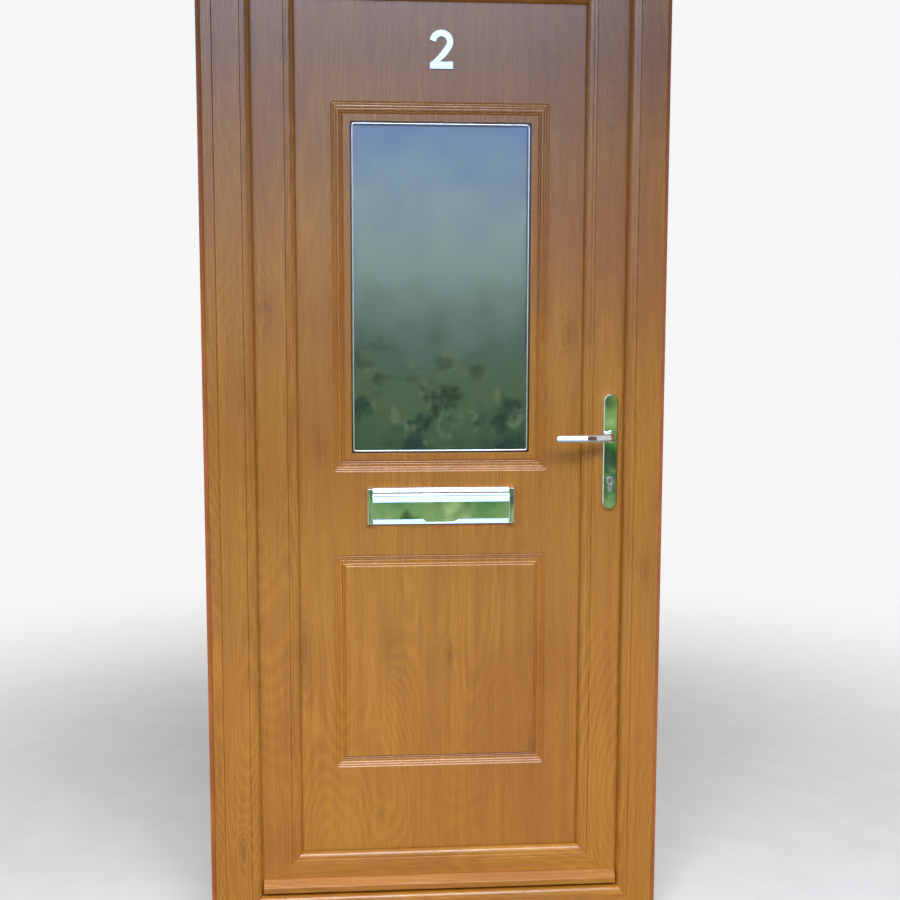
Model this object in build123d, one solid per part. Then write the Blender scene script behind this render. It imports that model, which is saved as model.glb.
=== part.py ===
# A panelled front door in its frame: foiled hollow profiles mitred at their corners, a moulded and
# glazed panel, a letterplate, lever handles and a key-wound lock at three heights.
# X runs to the right seen from outside, Y runs into the house, Z is up. The origin is the centre of
# the frame's underside, halfway through the frame's depth. Lengths are in millimetres.
from build123d import *
import math
import os

# Frame: overall size and the places across its profile, from the wall inwards (u) and from the
# outer face inwards (v)
FRAME_WIDTH = 900.0
FRAME_HEIGHT = 2070.0
FRAME_DEPTH = 70.0
FRAME_FACE = 52.0
REBATE_WALL = 52.5
FRAME_FLANGE_REACH = 20.0
FRAME_FLANGE_DEPTH = 22.0
QUIRK_WIDTH = 1.2
QUIRK_DEPTH = 1.6
FILLET_WIDTH = 7.5
FILLET_DROP = 0.8
FILLET_STEP = 1.4
OVOLO_ACROSS = 0.67
OVOLO_DOWN = 0.27
FRAME_OVOLO_END = 16.0
FRAME_EDGE_WALL = 4.0
NOSE_CHAMBER_START = 1.0
NOSE_CHAMBER_WIDTH = 8.0
NOSE_WALL = 7.0
PROFILE_WALL = 3.0
FRAME_STEEL_ROOM = 39.0

# Sash: its place in the frame and the places across its profile, from its inner flange's outer
# edge towards the panel (p) and from the frame's outer face inwards (v)
REBATE_GAP = 12.0
GASKET_GAP = 3.0
SASH_DEPTH = 70.0
SASH_FLANGE_REACH = 20.0
SASH_FLANGE_DEPTH = 22.0
SASH_FACE_VISIBLE = 63.0
SASH_OVOLO_WIDTH = 22.0
SASH_FILLET_WIDTH = 5.0
SASH_OVOLO_END = 12.0
SASH_LIP_DEPTH = 13.0
SASH_FRONT_CHAMBER = 11.0
SASH_LIP_ROOT = 5.0
PANEL_COVER = 13.0
PACKER_THICKNESS = 5.0
PACKER_LENGTH = 100.0
PACKER_SIDE_PLACE = 0.125
PACKER_END_PLACE = 0.25

# Reinforcing steel in the main chambers
STEEL_WALL = 1.5
STEEL_CLEARANCE = 0.3
SASH_STEEL_DEPTH = 16.0

# Rubber seals
GASKET_WIDTH = 6.0
GASKET_CLEARANCE = 0.3
GASKET_ROUND = 1.0
FRAME_GASKET_SET_BACK = 0.5
SASH_GASKET_INSET = 3.0
PANEL_GASKET_SET_BACK = 1.0
PANEL_INNER_GAP = 2.0

# Extension strip beside the left jamb and the bead of sealant round the outside
EXTENSION_WIDTH = 23.0
EXTENSION_GROOVE = 2.0
EXTENSION_CHAMFER = 2.0
SEALANT_WIDTH = 9.0
SEALANT_DEPTH = 9.0
SEALANT_SET_BACK = 1.0
SEALANT_WALL_EDGE = 0.6
SEALANT_HOLLOW = (0.42, 0.34)

# Fixing holes through the jambs into the wall
FIXING_HOLE_RADIUS = 4.1
FIXING_END_DISTANCE = 170.0
FIXING_MIDDLE_SPACING = 560.0

# Panel: two moulded skins on a foam core
PANEL_THICKNESS = 28.0
SKIN_THICKNESS = 2.5
MOULDING_MARGIN = 70.0
CHANNEL_DEPTH = 6.0
CHANNEL_OUTER_SLOPE = 13.0
CHANNEL_FLOOR = 2.5
CHANNEL_INNER_SLOPE = 9.5
CHANNEL_CORNER_RADIUS = 10.0
CHANNEL_BACK_MARGIN = 1.5
REED_RISER = 0.1
REED_TREAD = 0.35
REED_DROP = 0.26
REED_FALL = 0.11
LITE_BELOW_TOP = 353.0
LITE_ABOVE_PLATE = 71.0
FIELD_BELOW_PLATE = 103.0
FIELD_BOTTOM = 338.0

# Glass unit and the bead rings that hold it
BEAD_STRIP_WIDTH = 14.0
BEAD_STRIP_THICKNESS = 3.5
BEAD_LEG_THICKNESS = 3.0
BEAD_LEG_DEPTH = 9.0
BEAD_CORNER_RADIUS = 4.0
BEAD_CLEARANCE = 0.2
GLASS_THICKNESS = 4.0
GLASS_CLEARANCE = 0.5
SPACER_WIDTH = 13.5

# Glazing beads on the room side
GLAZING_BEAD_WIDTH = 20.0
GLAZING_BEAD_ROUND = 8.0
GLAZING_BEAD_WALL = 2.0
GLAZING_BEAD_SET_BACK = 0.5
BEAD_CLIP_REACH = 4.0
BEAD_CLIP_THICKNESS = 3.0
BEAD_CLIP_HEIGHT = 14.0
CLIP_CLEARANCE = 0.3

# Weather bar across the foot of the leaf
BAR_END_GAP = 3.5
BAR_BOTTOM = 78.0
BAR_HEIGHT = 27.0
BAR_PROJECTION = 19.0
BAR_NOSE_HEIGHT = 13.0
BAR_WALL = 2.0
BAR_DRIP_LIFT = 2.0
BAR_LIP_WIDTH = 4.0
BAR_LIP_HEIGHT = 1.5
BAR_SHOULDER = 3.0

# House number
NUMERAL_BELOW_TOP = 251.0
NUMERAL_HEIGHT = 75.0
NUMERAL_WIDTH = 46.0
NUMERAL_STROKE = 12.0
NUMERAL_BASE = 13.5
NUMERAL_THICKNESS = 5.0
NUMERAL_HOOK_RISE = 4.0
NUMERAL_STEM_TURN = -38.0
# Middle points of the numeral's arcs, as shares of the half width or stroke and of the height there
HOOK_OUTER_MIDDLE = (0.64, 0.78)
BOWL_OUTER_MIDDLE = (0.87, 0.5)
STEM_RIGHT_MIDDLE = (0.42, 0.5)
STEM_LEFT_MIDDLE = (0.25, 0.5)
BOWL_INNER_MIDDLE = (0.8, 0.6)
HOOK_INNER_MIDDLE = (0.75, 0.66)
STEM_FOOT_SHARE = 0.2
HEEL_SHARE = 0.75
NUMERAL_PIN_RADIUS = 1.5
NUMERAL_PIN_LENGTH = 12.0
NUMERAL_PIN_CLEARANCE = 0.1

# Letterplate
PLATE_CENTRE = 898.0
PLATE_WIDTH = 305.0
PLATE_HEIGHT = 75.0
PLATE_THICKNESS = 3.0
PLATE_CAP_WIDTH = 12.0
PLATE_CAP_DEPTH = 15.0
PLATE_CAP_ROUND = 2.5
PLATE_BAR_DEPTH = 10.0
PLATE_TOP_BAR = 8.0
PLATE_RAIL = 9.0
PLATE_RAIL_DEPTH = 8.0
PULL_NOTCH_WIDTH = 74.0
PULL_NOTCH_RADIUS = 60.0
SLOT_WIDTH = 254.0
SLOT_HEIGHT = 38.0
SLEEVE_WALL = 2.0
SLEEVE_CLEARANCE = 0.5
FLAP_CLEARANCE = 0.5
FLAP_THICKNESS = 3.0
FLAP_BARREL_RADIUS = 7.2
FLAP_PIVOT_RADIUS = 2.5
FLAP_PIVOT_LENGTH = 5.0
PLATE_BOLT_RADIUS = 2.5
PLATE_BOLT_SPACING = 293.0
PLATE_BOLT_GRIP = 8.0
PLATE_BOLT_HEAD = 4.0
PLATE_BOLT_HEAD_RADIUS = 4.5
BOLT_SLACK = 0.1
HEAD_CLEARANCE = 0.3
BOLT_END_GAP = 1.0

# Lever handles, spindle and key cylinder
BACKSET = 35.0
SPINDLE_HEIGHT = 1042.0
LOCK_CENTRES = 92.0
BACKPLATE_LENGTH = 240.0
BACKPLATE_WIDTH = 30.0
BACKPLATE_THICKNESS = 10.0
BACKPLATE_RIM = 2.0
BACKPLATE_BELOW_SPINDLE = 32.0
BACKPLATE_SCREW_SPACING = 188.0
BACKPLATE_SCREW_RADIUS = 2.5
BACKPLATE_SCREW_HEAD = 4.0
BACKPLATE_SCREW_HEAD_RADIUS = 4.5
BACKPLATE_BOSS_RADIUS = 4.5
BACKPLATE_BOSS_LENGTH = 12.0
BACKPLATE_SCREW_GRIP = 5.0
LEVER_LENGTH = 120.0
LEVER_HEIGHT = 16.0
LEVER_DEPTH = 12.0
LEVER_STANDOFF = 46.0
LEVER_BEND = 15.0
LEVER_COLLAR_RADIUS = 12.5
LEVER_COLLAR_LENGTH = 5.0
LEVER_HUB_RADIUS = 9.0
LEVER_ROUND = 5.0
LEVER_TIP_ROUND = 4.0
LEVER_END_PLAY = 0.5
SPINDLE_SIDE = 8.0
SPINDLE_SLACK = 0.1
SPINDLE_SOCKET = 13.0
SPINDLE_END_GAP = 0.5
RUNNING_CLEARANCE = 0.05
PLUG_RADIUS = 6.5
CYLINDER_RADIUS = 8.5
CYLINDER_FLAG_WIDTH = 10.0
CYLINDER_TOTAL_HEIGHT = 33.0
CYLINDER_PROJECTION = 1.0
FLAG_FLAT = 0.8
CAM_WIDTH = 9.5
CAM_SLOT_WIDTH = 10.5
CAM_REACH = 15.0
CAM_NOSE_WIDTH = 8.0
KEYWAY_WIDTH = 2.0
KEYWAY_HEIGHT = 8.0
KEYWAY_DEPTH = 20.0

# Lock strip on the leaf's closing edge
LOCK_CENTRE_DEPTH = 50.0
FACEPLATE_WIDTH = 16.0
FACEPLATE_THICKNESS = 2.5
FACEPLATE_END_DISTANCE = 165.0
LOCK_CASE_WALL = 1.5
LOCK_CASE_THICKNESS = 15.0
LOCK_CASE_REACH = 70.0
LOCK_CASE_BELOW = 28.0
LOCK_CASE_ABOVE = 40.0
FOLLOWER_RADIUS = 10.0
FOLLOWER_BOSS_RADIUS = 8.0
FOLLOWER_LOBE_WIDTH = 5.0
FOLLOWER_LOBE_REACH = 17.0
LATCH_HEIGHT = 20.0
LATCH_THICKNESS = 11.0
LATCH_HEAD_LENGTH = 22.0
LATCH_BAR_HEIGHT = 8.0
LATCH_TAIL_WIDTH = 8.0
LATCH_PROJECTION = 8.5
LATCH_NOSE_THICKNESS = 3.3
LATCH_RAISE = 24.0
DEADBOLT_HEIGHT = 22.0
DEADBOLT_THICKNESS = 9.0
DEADBOLT_LENGTH = 40.0
DEADBOLT_THROW = 18.0
DEADBOLT_RAISE = 36.0
DEADBOLT_EDGE = 0.8
BOLT_CLEARANCE = 0.3
HOOK_BELOW_TOP = 420.0
HOOK_LOWER_HEIGHT = 400.0
HOOK_PIVOT_INSET = 15.0
HOOK_REACH = 31.0
HOOK_ARM_WIDTH = 12.0
HOOK_THICKNESS = 6.0
HOOK_BEAK = 6.0
HOOK_BEAK_TIP = 3.6
HOOK_BEAK_ROOT = 8.4
HOOK_PIN_RADIUS = 3.0
HOOK_CASE_REACH = 32.0
HOOK_CASE_ABOVE = 16.0
HOOK_CASE_BELOW = 48.0

# Keeps on the frame
KEEP_THICKNESS = 2.0
KEEP_CORNER = 4.0
KEEP_WIDTH = 20.0
KEEP_MARGIN = 24.0
WINDOW_CLEARANCE = 1.0
SCREW_RADIUS = 2.0
SCREW_HEAD_RADIUS = 4.0
SCREW_LENGTH = 7.0
SCREW_SLACK = 0.1

# Hinges
HINGE_END_DISTANCE = 300.0
HINGE_AXIS_OUT = 9.0
HINGE_AXIS_BEHIND = 8.0
HINGE_KNUCKLE_RADIUS = 8.0
HINGE_PIN_RADIUS = 4.0
HINGE_KNUCKLE_LENGTH = 48.0
HINGE_PIN_LENGTH = 40.0
HINGE_END_GAP = 0.5
HINGE_PLATE_THICKNESS = 4.0
HINGE_FLAG_LENGTH = 38.0
HINGE_FOOT_LENGTH = 30.0
HINGE_WEB = 12.0
HINGE_SCREW_OFFSET = 1.0
HINGE_FLAG_SCREW_PLACE = 22.8

# How far a cut runs past the face that it starts from
OVERCUT = 1.0

# Places that follow from the sizes above
OUTER_FACE = -FRAME_DEPTH / 2
FLANGE_EDGE = REBATE_WALL + FRAME_FLANGE_REACH
SASH_EDGE = REBATE_WALL + REBATE_GAP
SASH_OUTSET = SASH_EDGE - SASH_FLANGE_REACH
SASH_FACE = FRAME_FLANGE_DEPTH + GASKET_GAP
SASH_BACK = SASH_FACE + SASH_DEPTH
SASH_VISIBLE = FLANGE_EDGE - SASH_OUTSET
OVOLO_START = SASH_VISIBLE + SASH_FACE_VISIBLE
SIGHT_EDGE = OVOLO_START + SASH_OVOLO_WIDTH
PANEL_EDGE = SIGHT_EDGE - PANEL_COVER
REBATE_FLOOR = PANEL_EDGE - PACKER_THICKNESS
PANEL_FACE = SASH_FACE + SASH_LIP_DEPTH + GASKET_GAP
PANEL_BACK = PANEL_FACE + PANEL_THICKNESS
LOCK_EDGE_X = FRAME_WIDTH / 2 - SASH_EDGE
SPINDLE_X = LOCK_EDGE_X - BACKSET
CYLINDER_HEIGHT = SPINDLE_HEIGHT - LOCK_CENTRES
BACKPLATE_CENTRE = SPINDLE_HEIGHT - BACKPLATE_BELOW_SPINDLE
HINGE_X = -FRAME_WIDTH / 2 + SASH_OUTSET - HINGE_AXIS_OUT
HINGE_Y = OUTER_FACE + SASH_BACK + HINGE_AXIS_BEHIND
HINGE_HEIGHTS = {
    "lower": HINGE_END_DISTANCE,
    "middle": FRAME_HEIGHT / 2,
    "upper": FRAME_HEIGHT - HINGE_END_DISTANCE,
}
MOULDING_WIDTH = FRAME_WIDTH - 2 * (SASH_OUTSET + SIGHT_EDGE + MOULDING_MARGIN)
LITE_TOP = FRAME_HEIGHT - LITE_BELOW_TOP
LITE_BOTTOM = PLATE_CENTRE + LITE_ABOVE_PLATE
FIELD_TOP = PLATE_CENTRE - FIELD_BELOW_PLATE
NUMERAL_CENTRE = FRAME_HEIGHT - NUMERAL_BELOW_TOP
BAR_LENGTH = FRAME_WIDTH - 2 * (FLANGE_EDGE + BAR_END_GAP)
FACEPLATE_LENGTH = FRAME_HEIGHT - 2 * FACEPLATE_END_DISTANCE
HOOK_UPPER_HEIGHT = FRAME_HEIGHT - HOOK_BELOW_TOP
FIELD_EDGE = CHANNEL_OUTER_SLOPE + CHANNEL_FLOOR + CHANNEL_INNER_SLOPE
OPENING_WIDTH = MOULDING_WIDTH - 2 * FIELD_EDGE
OPENING_HEIGHT = LITE_TOP - LITE_BOTTOM - 2 * FIELD_EDGE
LITE_CENTRE = (LITE_TOP + LITE_BOTTOM) / 2
HOOK_PIVOT_X = LOCK_EDGE_X - HOOK_PIVOT_INSET


def deep(v):
    """The Y of a depth v behind the frame's outer face."""
    return OUTER_FACE + v


def block(x, y, z):
    """A box between the given pairs of X, Y and Z."""
    size = [b - a for a, b in (x, y, z)]
    middle = [(a + b) / 2 for a, b in (x, y, z)]
    return Pos(*middle) * Box(*size)


def rod(centre, radius, length, direction):
    """A cylinder of this length that starts at centre and runs along direction."""
    return Solid.make_cylinder(radius, length, Plane(origin=centre, z_dir=direction))


def outline(*pieces):
    """A flat face bounded by lines and arcs, given in order."""
    return make_face(Curve() + list(pieces))


def ogee_edge(start, face, fillet_width, end, end_depth):
    """The moulded edge of a profile from its flat face: a quirk, a narrow fillet and an ovolo."""
    quirk = start + QUIRK_WIDTH
    step = quirk + fillet_width
    low = face + FILLET_DROP
    top = low + FILLET_STEP
    bend = (step + OVOLO_ACROSS * (end - step), top + OVOLO_DOWN * (end_depth - top))
    return [
        Line((start, face), (start + QUIRK_WIDTH / 2, face + QUIRK_DEPTH)),
        Line((start + QUIRK_WIDTH / 2, face + QUIRK_DEPTH), (quirk, face)),
        Line((quirk, face), (step, low)),
        Line((step, low), (step, top)),
        ThreePointArc((step, top), bend, (end, end_depth)),
    ]


def chamber(u0, u1, v0, v1):
    """A hollow chamber of a profile."""
    return Pos((u0 + u1) / 2, (v0 + v1) / 2) * Rectangle(u1 - u0, v1 - v0)


def frame_section():
    """The frame's profile in (u, v), with its chambers."""
    edge = ogee_edge(FRAME_FACE, 0, FILLET_WIDTH, FLANGE_EDGE, FRAME_OVOLO_END)
    body = outline(
        Line((0, 0), (FRAME_FACE, 0)),
        *edge,
        Polyline(
            (FLANGE_EDGE, FRAME_OVOLO_END),
            (FLANGE_EDGE, FRAME_FLANGE_DEPTH),
            (REBATE_WALL, FRAME_FLANGE_DEPTH),
            (REBATE_WALL, FRAME_DEPTH),
            (0, FRAME_DEPTH),
            (0, 0),
        ),
    )
    wall = PROFILE_WALL
    back = FRAME_FLANGE_DEPTH - wall
    steel_room = wall + FRAME_STEEL_ROOM
    body -= chamber(wall, FRAME_FACE / 2, wall, back)
    body -= chamber(FRAME_FACE / 2 + wall, REBATE_WALL - wall, FRAME_EDGE_WALL, back)
    nose = REBATE_WALL + NOSE_CHAMBER_START
    body -= chamber(nose, nose + NOSE_CHAMBER_WIDTH, NOSE_WALL, back)
    body -= chamber(wall, steel_room, FRAME_FLANGE_DEPTH, FRAME_DEPTH - wall)
    body -= chamber(steel_room + wall, REBATE_WALL - wall, FRAME_FLANGE_DEPTH + wall, FRAME_DEPTH - wall)
    return body


def sash_section():
    """The sash's profile in (p, v), with its chambers and the groove for the glazing bead's clip."""
    wall = PROFILE_WALL
    lip_back = SASH_FACE + SASH_LIP_DEPTH
    flange_front = SASH_BACK - SASH_FLANGE_DEPTH
    edge = ogee_edge(OVOLO_START, SASH_FACE, SASH_FILLET_WIDTH, SIGHT_EDGE, SASH_FACE + SASH_OVOLO_END)
    body = outline(
        Line((SASH_FLANGE_REACH, SASH_FACE), (OVOLO_START, SASH_FACE)),
        *edge,
        Polyline(
            (SIGHT_EDGE, SASH_FACE + SASH_OVOLO_END),
            (SIGHT_EDGE, lip_back),
            (REBATE_FLOOR, lip_back),
            (REBATE_FLOOR, SASH_BACK),
            (0, SASH_BACK),
            (0, flange_front),
            (SASH_FLANGE_REACH, flange_front),
            (SASH_FLANGE_REACH, SASH_FACE),
        ),
    )
    inner = SASH_FLANGE_REACH + wall
    outer_floor = REBATE_FLOOR - wall
    middle = (inner + outer_floor) / 2
    front = (SASH_FACE + wall, SASH_FACE + wall + SASH_FRONT_CHAMBER)
    main = (front[1] + wall, flange_front + wall)
    back = (main[1] + wall, SASH_BACK - wall)
    body -= chamber(inner, middle - wall / 2, *front)
    body -= chamber(middle + wall / 2, outer_floor - SASH_LIP_ROOT, *front)
    body -= chamber(inner, outer_floor, *main)
    body -= chamber(wall, middle - wall / 2, *back)
    body -= chamber(middle + wall / 2, outer_floor - BEAD_CLIP_REACH - wall, *back)
    clip = SASH_BACK - BEAD_CLIP_HEIGHT
    body -= chamber(
        REBATE_FLOOR - BEAD_CLIP_REACH - CLIP_CLEARANCE,
        REBATE_FLOOR,
        clip - CLIP_CLEARANCE,
        clip + BEAD_CLIP_THICKNESS + CLIP_CLEARANCE,
    )
    return body


def side_plane(side, outset):
    """The plane of a profile's section at the start of one side of a rectangle, and the side's length.

    The rectangle lies outset inside the frame's outer edge. Its sides run round in one direction, so
    each section's first axis points into the rectangle and its second axis points into the house.
    """
    half = FRAME_WIDTH / 2 - outset
    low, high = outset, FRAME_HEIGHT - outset
    starts = {
        "left": ((-half, low), (1, 0, 0), high - low),
        "head": ((-half, high), (0, 0, -1), 2 * half),
        "right": ((half, high), (-1, 0, 0), high - low),
        "foot": ((half, low), (0, 0, 1), 2 * half),
    }
    (x, z), inward, length = starts[side]
    along = Vector(*inward).cross(Vector(0, 1, 0))
    return Plane(origin=(x, OUTER_FACE, z), x_dir=inward, z_dir=along), length


def mitred(section, side, outset=0.0):
    """A length of profile along one side of the rectangle, with both ends cut at 45 degrees."""
    plane, length = side_plane(side, outset)
    bar = plane * extrude(section, amount=length)
    size = section.bounding_box().max
    reach = size.X + OVERCUT
    corners = [(0, 0), (0, length), (reach, length - reach), (reach, reach)]
    flat = Plane.XZ * make_face(Polyline(*corners, close=True))
    return bar & (plane * extrude(flat, amount=size.Y + OVERCUT, both=True))


def ring(section, outset=0.0):
    """Four mitred lengths joined into one piece."""
    pieces = [mitred(section, side, outset) for side in ("left", "head", "right", "foot")]
    return pieces[0] + pieces[1] + pieces[2] + pieces[3]


def euro_section(grow=0.0):
    """The outline of the key cylinder: a round top over a narrow flag."""
    flag_low = -(CYLINDER_TOTAL_HEIGHT - CYLINDER_RADIUS) - grow
    half = CYLINDER_FLAG_WIDTH / 2 + grow
    flag = Pos(0, flag_low / 2) * Rectangle(2 * half, -flag_low)
    flag = fillet(flag.vertices().group_by(Axis.Y)[0], half - FLAG_FLAT / 2)
    return Circle(CYLINDER_RADIUS + grow) + flag


def through_leaf(section, x, z, v0, v1):
    """A section drawn as seen from outside, extruded between two depths."""
    place = Plane(origin=(x, deep(v0), z), x_dir=(1, 0, 0), z_dir=(0, -1, 0))
    return place * extrude(section, amount=v0 - v1)


def fixing_places():
    """The heights of the fixing holes in a jamb."""
    middle = FRAME_HEIGHT / 2
    ends = (FIXING_END_DISTANCE, FRAME_HEIGHT - FIXING_END_DISTANCE)
    return ends + (middle - FIXING_MIDDLE_SPACING / 2, middle + FIXING_MIDDLE_SPACING / 2)


def fixing_holes(side):
    """The drillings for the fixings through a jamb and its steel."""
    sign = -1 if side == "left" else 1
    v = (FRAME_FLANGE_DEPTH + FRAME_DEPTH) / 2
    holes = []
    for z in fixing_places():
        start = (sign * (FRAME_WIDTH / 2 - REBATE_WALL - OVERCUT), deep(v), z)
        length = REBATE_WALL + EXTENSION_WIDTH + 2 * OVERCUT
        holes.append(rod(start, FIXING_HOLE_RADIUS, length, (sign, 0, 0)))
    return holes


def hook_sweep(height, spare):
    """The heights between which a hook passes the strip in the leaf's edge."""
    tip = math.hypot(HOOK_REACH, HOOK_ARM_WIDTH / 2 + HOOK_BEAK)
    drop = math.sqrt(tip**2 - (HOOK_PIVOT_INSET - FACEPLATE_THICKNESS) ** 2)
    return height - drop - spare, height + HOOK_ARM_WIDTH / 2 + HOOK_BEAK + spare


def bolt_windows(spare, thickness_spare, u0, u1):
    """The openings that the hooks, the latch and the deadbolt pass through, between two distances
    from the frame's right-hand edge."""
    x = (FRAME_WIDTH / 2 - u1, FRAME_WIDTH / 2 - u0)
    windows = []
    for height in (HOOK_LOWER_HEIGHT, HOOK_UPPER_HEIGHT):
        half = HOOK_THICKNESS / 2 + thickness_spare
        windows.append((x, (LOCK_CENTRE_DEPTH - half, LOCK_CENTRE_DEPTH + half), hook_sweep(height, spare)))
    half = DEADBOLT_THICKNESS / 2 + thickness_spare
    bolt_z = CYLINDER_HEIGHT + DEADBOLT_RAISE
    bolt = (bolt_z - DEADBOLT_HEIGHT / 2 - spare, bolt_z + DEADBOLT_HEIGHT / 2 + spare)
    windows.append((x, (LOCK_CENTRE_DEPTH - half, LOCK_CENTRE_DEPTH + half), bolt))
    half = LATCH_THICKNESS / 2 + thickness_spare
    latch_z = SPINDLE_HEIGHT + LATCH_RAISE
    latch = (latch_z - LATCH_HEIGHT / 2 - spare, latch_z + LATCH_HEIGHT / 2 + spare)
    windows.append((x, (LOCK_CENTRE_DEPTH - half, LOCK_CENTRE_DEPTH + half), latch))
    return [block(wx, (deep(a), deep(b)), wz) for wx, (a, b), wz in windows]


def frame_members():
    """The four mitred lengths of the frame, with the fixing holes and the windows for the bolts."""
    section = frame_section()
    left = mitred(section, "left")
    right = mitred(section, "right")
    for hole in fixing_holes("left"):
        left -= hole
    for hole in fixing_holes("right"):
        right -= hole
    inner = SASH_EDGE - DEADBOLT_THROW - WINDOW_CLEARANCE
    sockets = bolt_windows(WINDOW_CLEARANCE, WINDOW_CLEARANCE, inner, REBATE_WALL + OVERCUT)[:3]
    for socket in sockets:
        right -= socket
    for place in keep_screw_places():
        right -= screw(place, (1, 0, 0), SCREW_SLACK)
    for place in bracket_screw_places():
        left -= screw(place, (0, -1, 0), SCREW_SLACK)
    return {
        "frame_jamb_left": left,
        "frame_jamb_right": split_at_sockets(right, sockets),
        "frame_head": mitred(section, "head"),
        "frame_foot": mitred(section, "foot"),
    }


def split_at_sockets(jamb, sockets):
    """The closing jamb as pieces that meet face to face: its front, its main chamber, and the rebate
    wall cut above, below and beside each bolt's socket. Its shape stays the same, and collision
    pieces made from these simple pieces leave the sockets open."""
    edge = FRAME_WIDTH / 2
    fold = deep(FRAME_FLANGE_DEPTH + PROFILE_WALL)
    back = deep(FRAME_DEPTH) + OVERCUT
    floor = edge - PROFILE_WALL - FRAME_STEEL_ROOM - PROFILE_WALL
    inner, outer = edge - FLANGE_EDGE - OVERCUT, edge + OVERCUT
    low, high = -OVERCUT, FRAME_HEIGHT + OVERCUT
    regions = [
        ((inner, outer), (OUTER_FACE - OVERCUT, fold), (low, high)),
        ((floor, outer), (fold, back), (low, high)),
    ]
    for box in sorted((socket.bounding_box() for socket in sockets), key=lambda box: box.min.Z):
        regions.append(((inner, floor), (fold, back), (low, box.min.Z)))
        regions.append(((inner, floor), (fold, box.min.Y), (box.min.Z, box.max.Z)))
        regions.append(((inner, floor), (box.max.Y, back), (box.min.Z, box.max.Z)))
        low = box.max.Z
    regions.append(((inner, floor), (fold, back), (low, high)))
    pieces = []
    for region in regions:
        pieces += (jamb & block(*region)).solids()
    return Compound(children=pieces)


def steel_tube(u0, u1, v0, v1):
    """The section of a square reinforcing tube."""
    outer = chamber(u0, u1, v0, v1)
    return outer - chamber(u0 + STEEL_WALL, u1 - STEEL_WALL, v0 + STEEL_WALL, v1 - STEEL_WALL)


def frame_steels():
    """A reinforcing tube in the main chamber of each frame member."""
    gap = STEEL_CLEARANCE
    low, high = PROFILE_WALL + gap, PROFILE_WALL + FRAME_STEEL_ROOM - gap
    section = steel_tube(low, high, FRAME_FLANGE_DEPTH + gap, FRAME_DEPTH - PROFILE_WALL - gap)
    bars = [mitred(section, side) for side in ("left", "head", "right", "foot")]
    for hole in fixing_holes("left"):
        bars[0] -= hole
    for hole in fixing_holes("right"):
        bars[2] -= hole
    return Compound(children=[bar.solid() for bar in bars])


def extension_strip():
    """The add-on profile that widens the frame on the left."""
    depth = FRAME_DEPTH
    section = make_face(
        Polyline(
            (0, EXTENSION_CHAMFER),
            (EXTENSION_CHAMFER, 0),
            (EXTENSION_WIDTH - EXTENSION_GROOVE, 0),
            (EXTENSION_WIDTH, EXTENSION_GROOVE),
            (EXTENSION_WIDTH, depth),
            (0, depth),
            close=True,
        )
    )
    wall = PROFILE_WALL
    section -= chamber(wall, EXTENSION_WIDTH - wall, FRAME_EDGE_WALL, depth / 2 - wall / 2)
    section -= chamber(wall, EXTENSION_WIDTH - wall, depth / 2 + wall / 2, depth - wall)
    place = Plane(
        origin=(-FRAME_WIDTH / 2 - EXTENSION_WIDTH, OUTER_FACE, 0), x_dir=(1, 0, 0), z_dir=(0, 0, 1)
    )
    strip = place * extrude(section, amount=FRAME_HEIGHT)
    for hole in fixing_holes("left"):
        strip -= hole
    return strip


def sealant_section():
    """The bead's section in (outwards, depth): flat against the frame and hollow in front."""
    front = SEALANT_SET_BACK
    back = front + SEALANT_DEPTH
    wall_edge = (SEALANT_WIDTH, front + SEALANT_DEPTH * SEALANT_WALL_EDGE)
    across, down = SEALANT_HOLLOW
    hollow = (SEALANT_WIDTH * across, front + SEALANT_DEPTH * down)
    return outline(
        Polyline((0, front), (0, back), (SEALANT_WIDTH, back), wall_edge),
        ThreePointArc(wall_edge, hollow, (0, front)),
    )


def perimeter_sealant():
    """One bead of sealant up both sides and over the head, against the frame's outer edge."""
    left = -FRAME_WIDTH / 2 - EXTENSION_WIDTH
    right = FRAME_WIDTH / 2
    corners = [(left, 0), (left, FRAME_HEIGHT), (right, FRAME_HEIGHT), (right, 0)]
    path = Polyline(*[(x, OUTER_FACE, z) for x, z in corners])
    start = Plane(origin=(left, OUTER_FACE, 0), x_dir=(-1, 0, 0), z_dir=(0, 0, -1))
    return sweep(start * sealant_section(), path=path, transition=Transition.RIGHT)


def frame_gasket():
    """The seal on the back of the frame's flange, which the closed sash lies against."""
    low = FLANGE_EDGE - GASKET_WIDTH - FRAME_GASKET_SET_BACK
    section = chamber(low, low + GASKET_WIDTH, FRAME_FLANGE_DEPTH, SASH_FACE - GASKET_CLEARANCE)
    section = fillet(section.vertices().group_by(Axis.Y)[-1], GASKET_ROUND)
    return ring(section)


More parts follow.
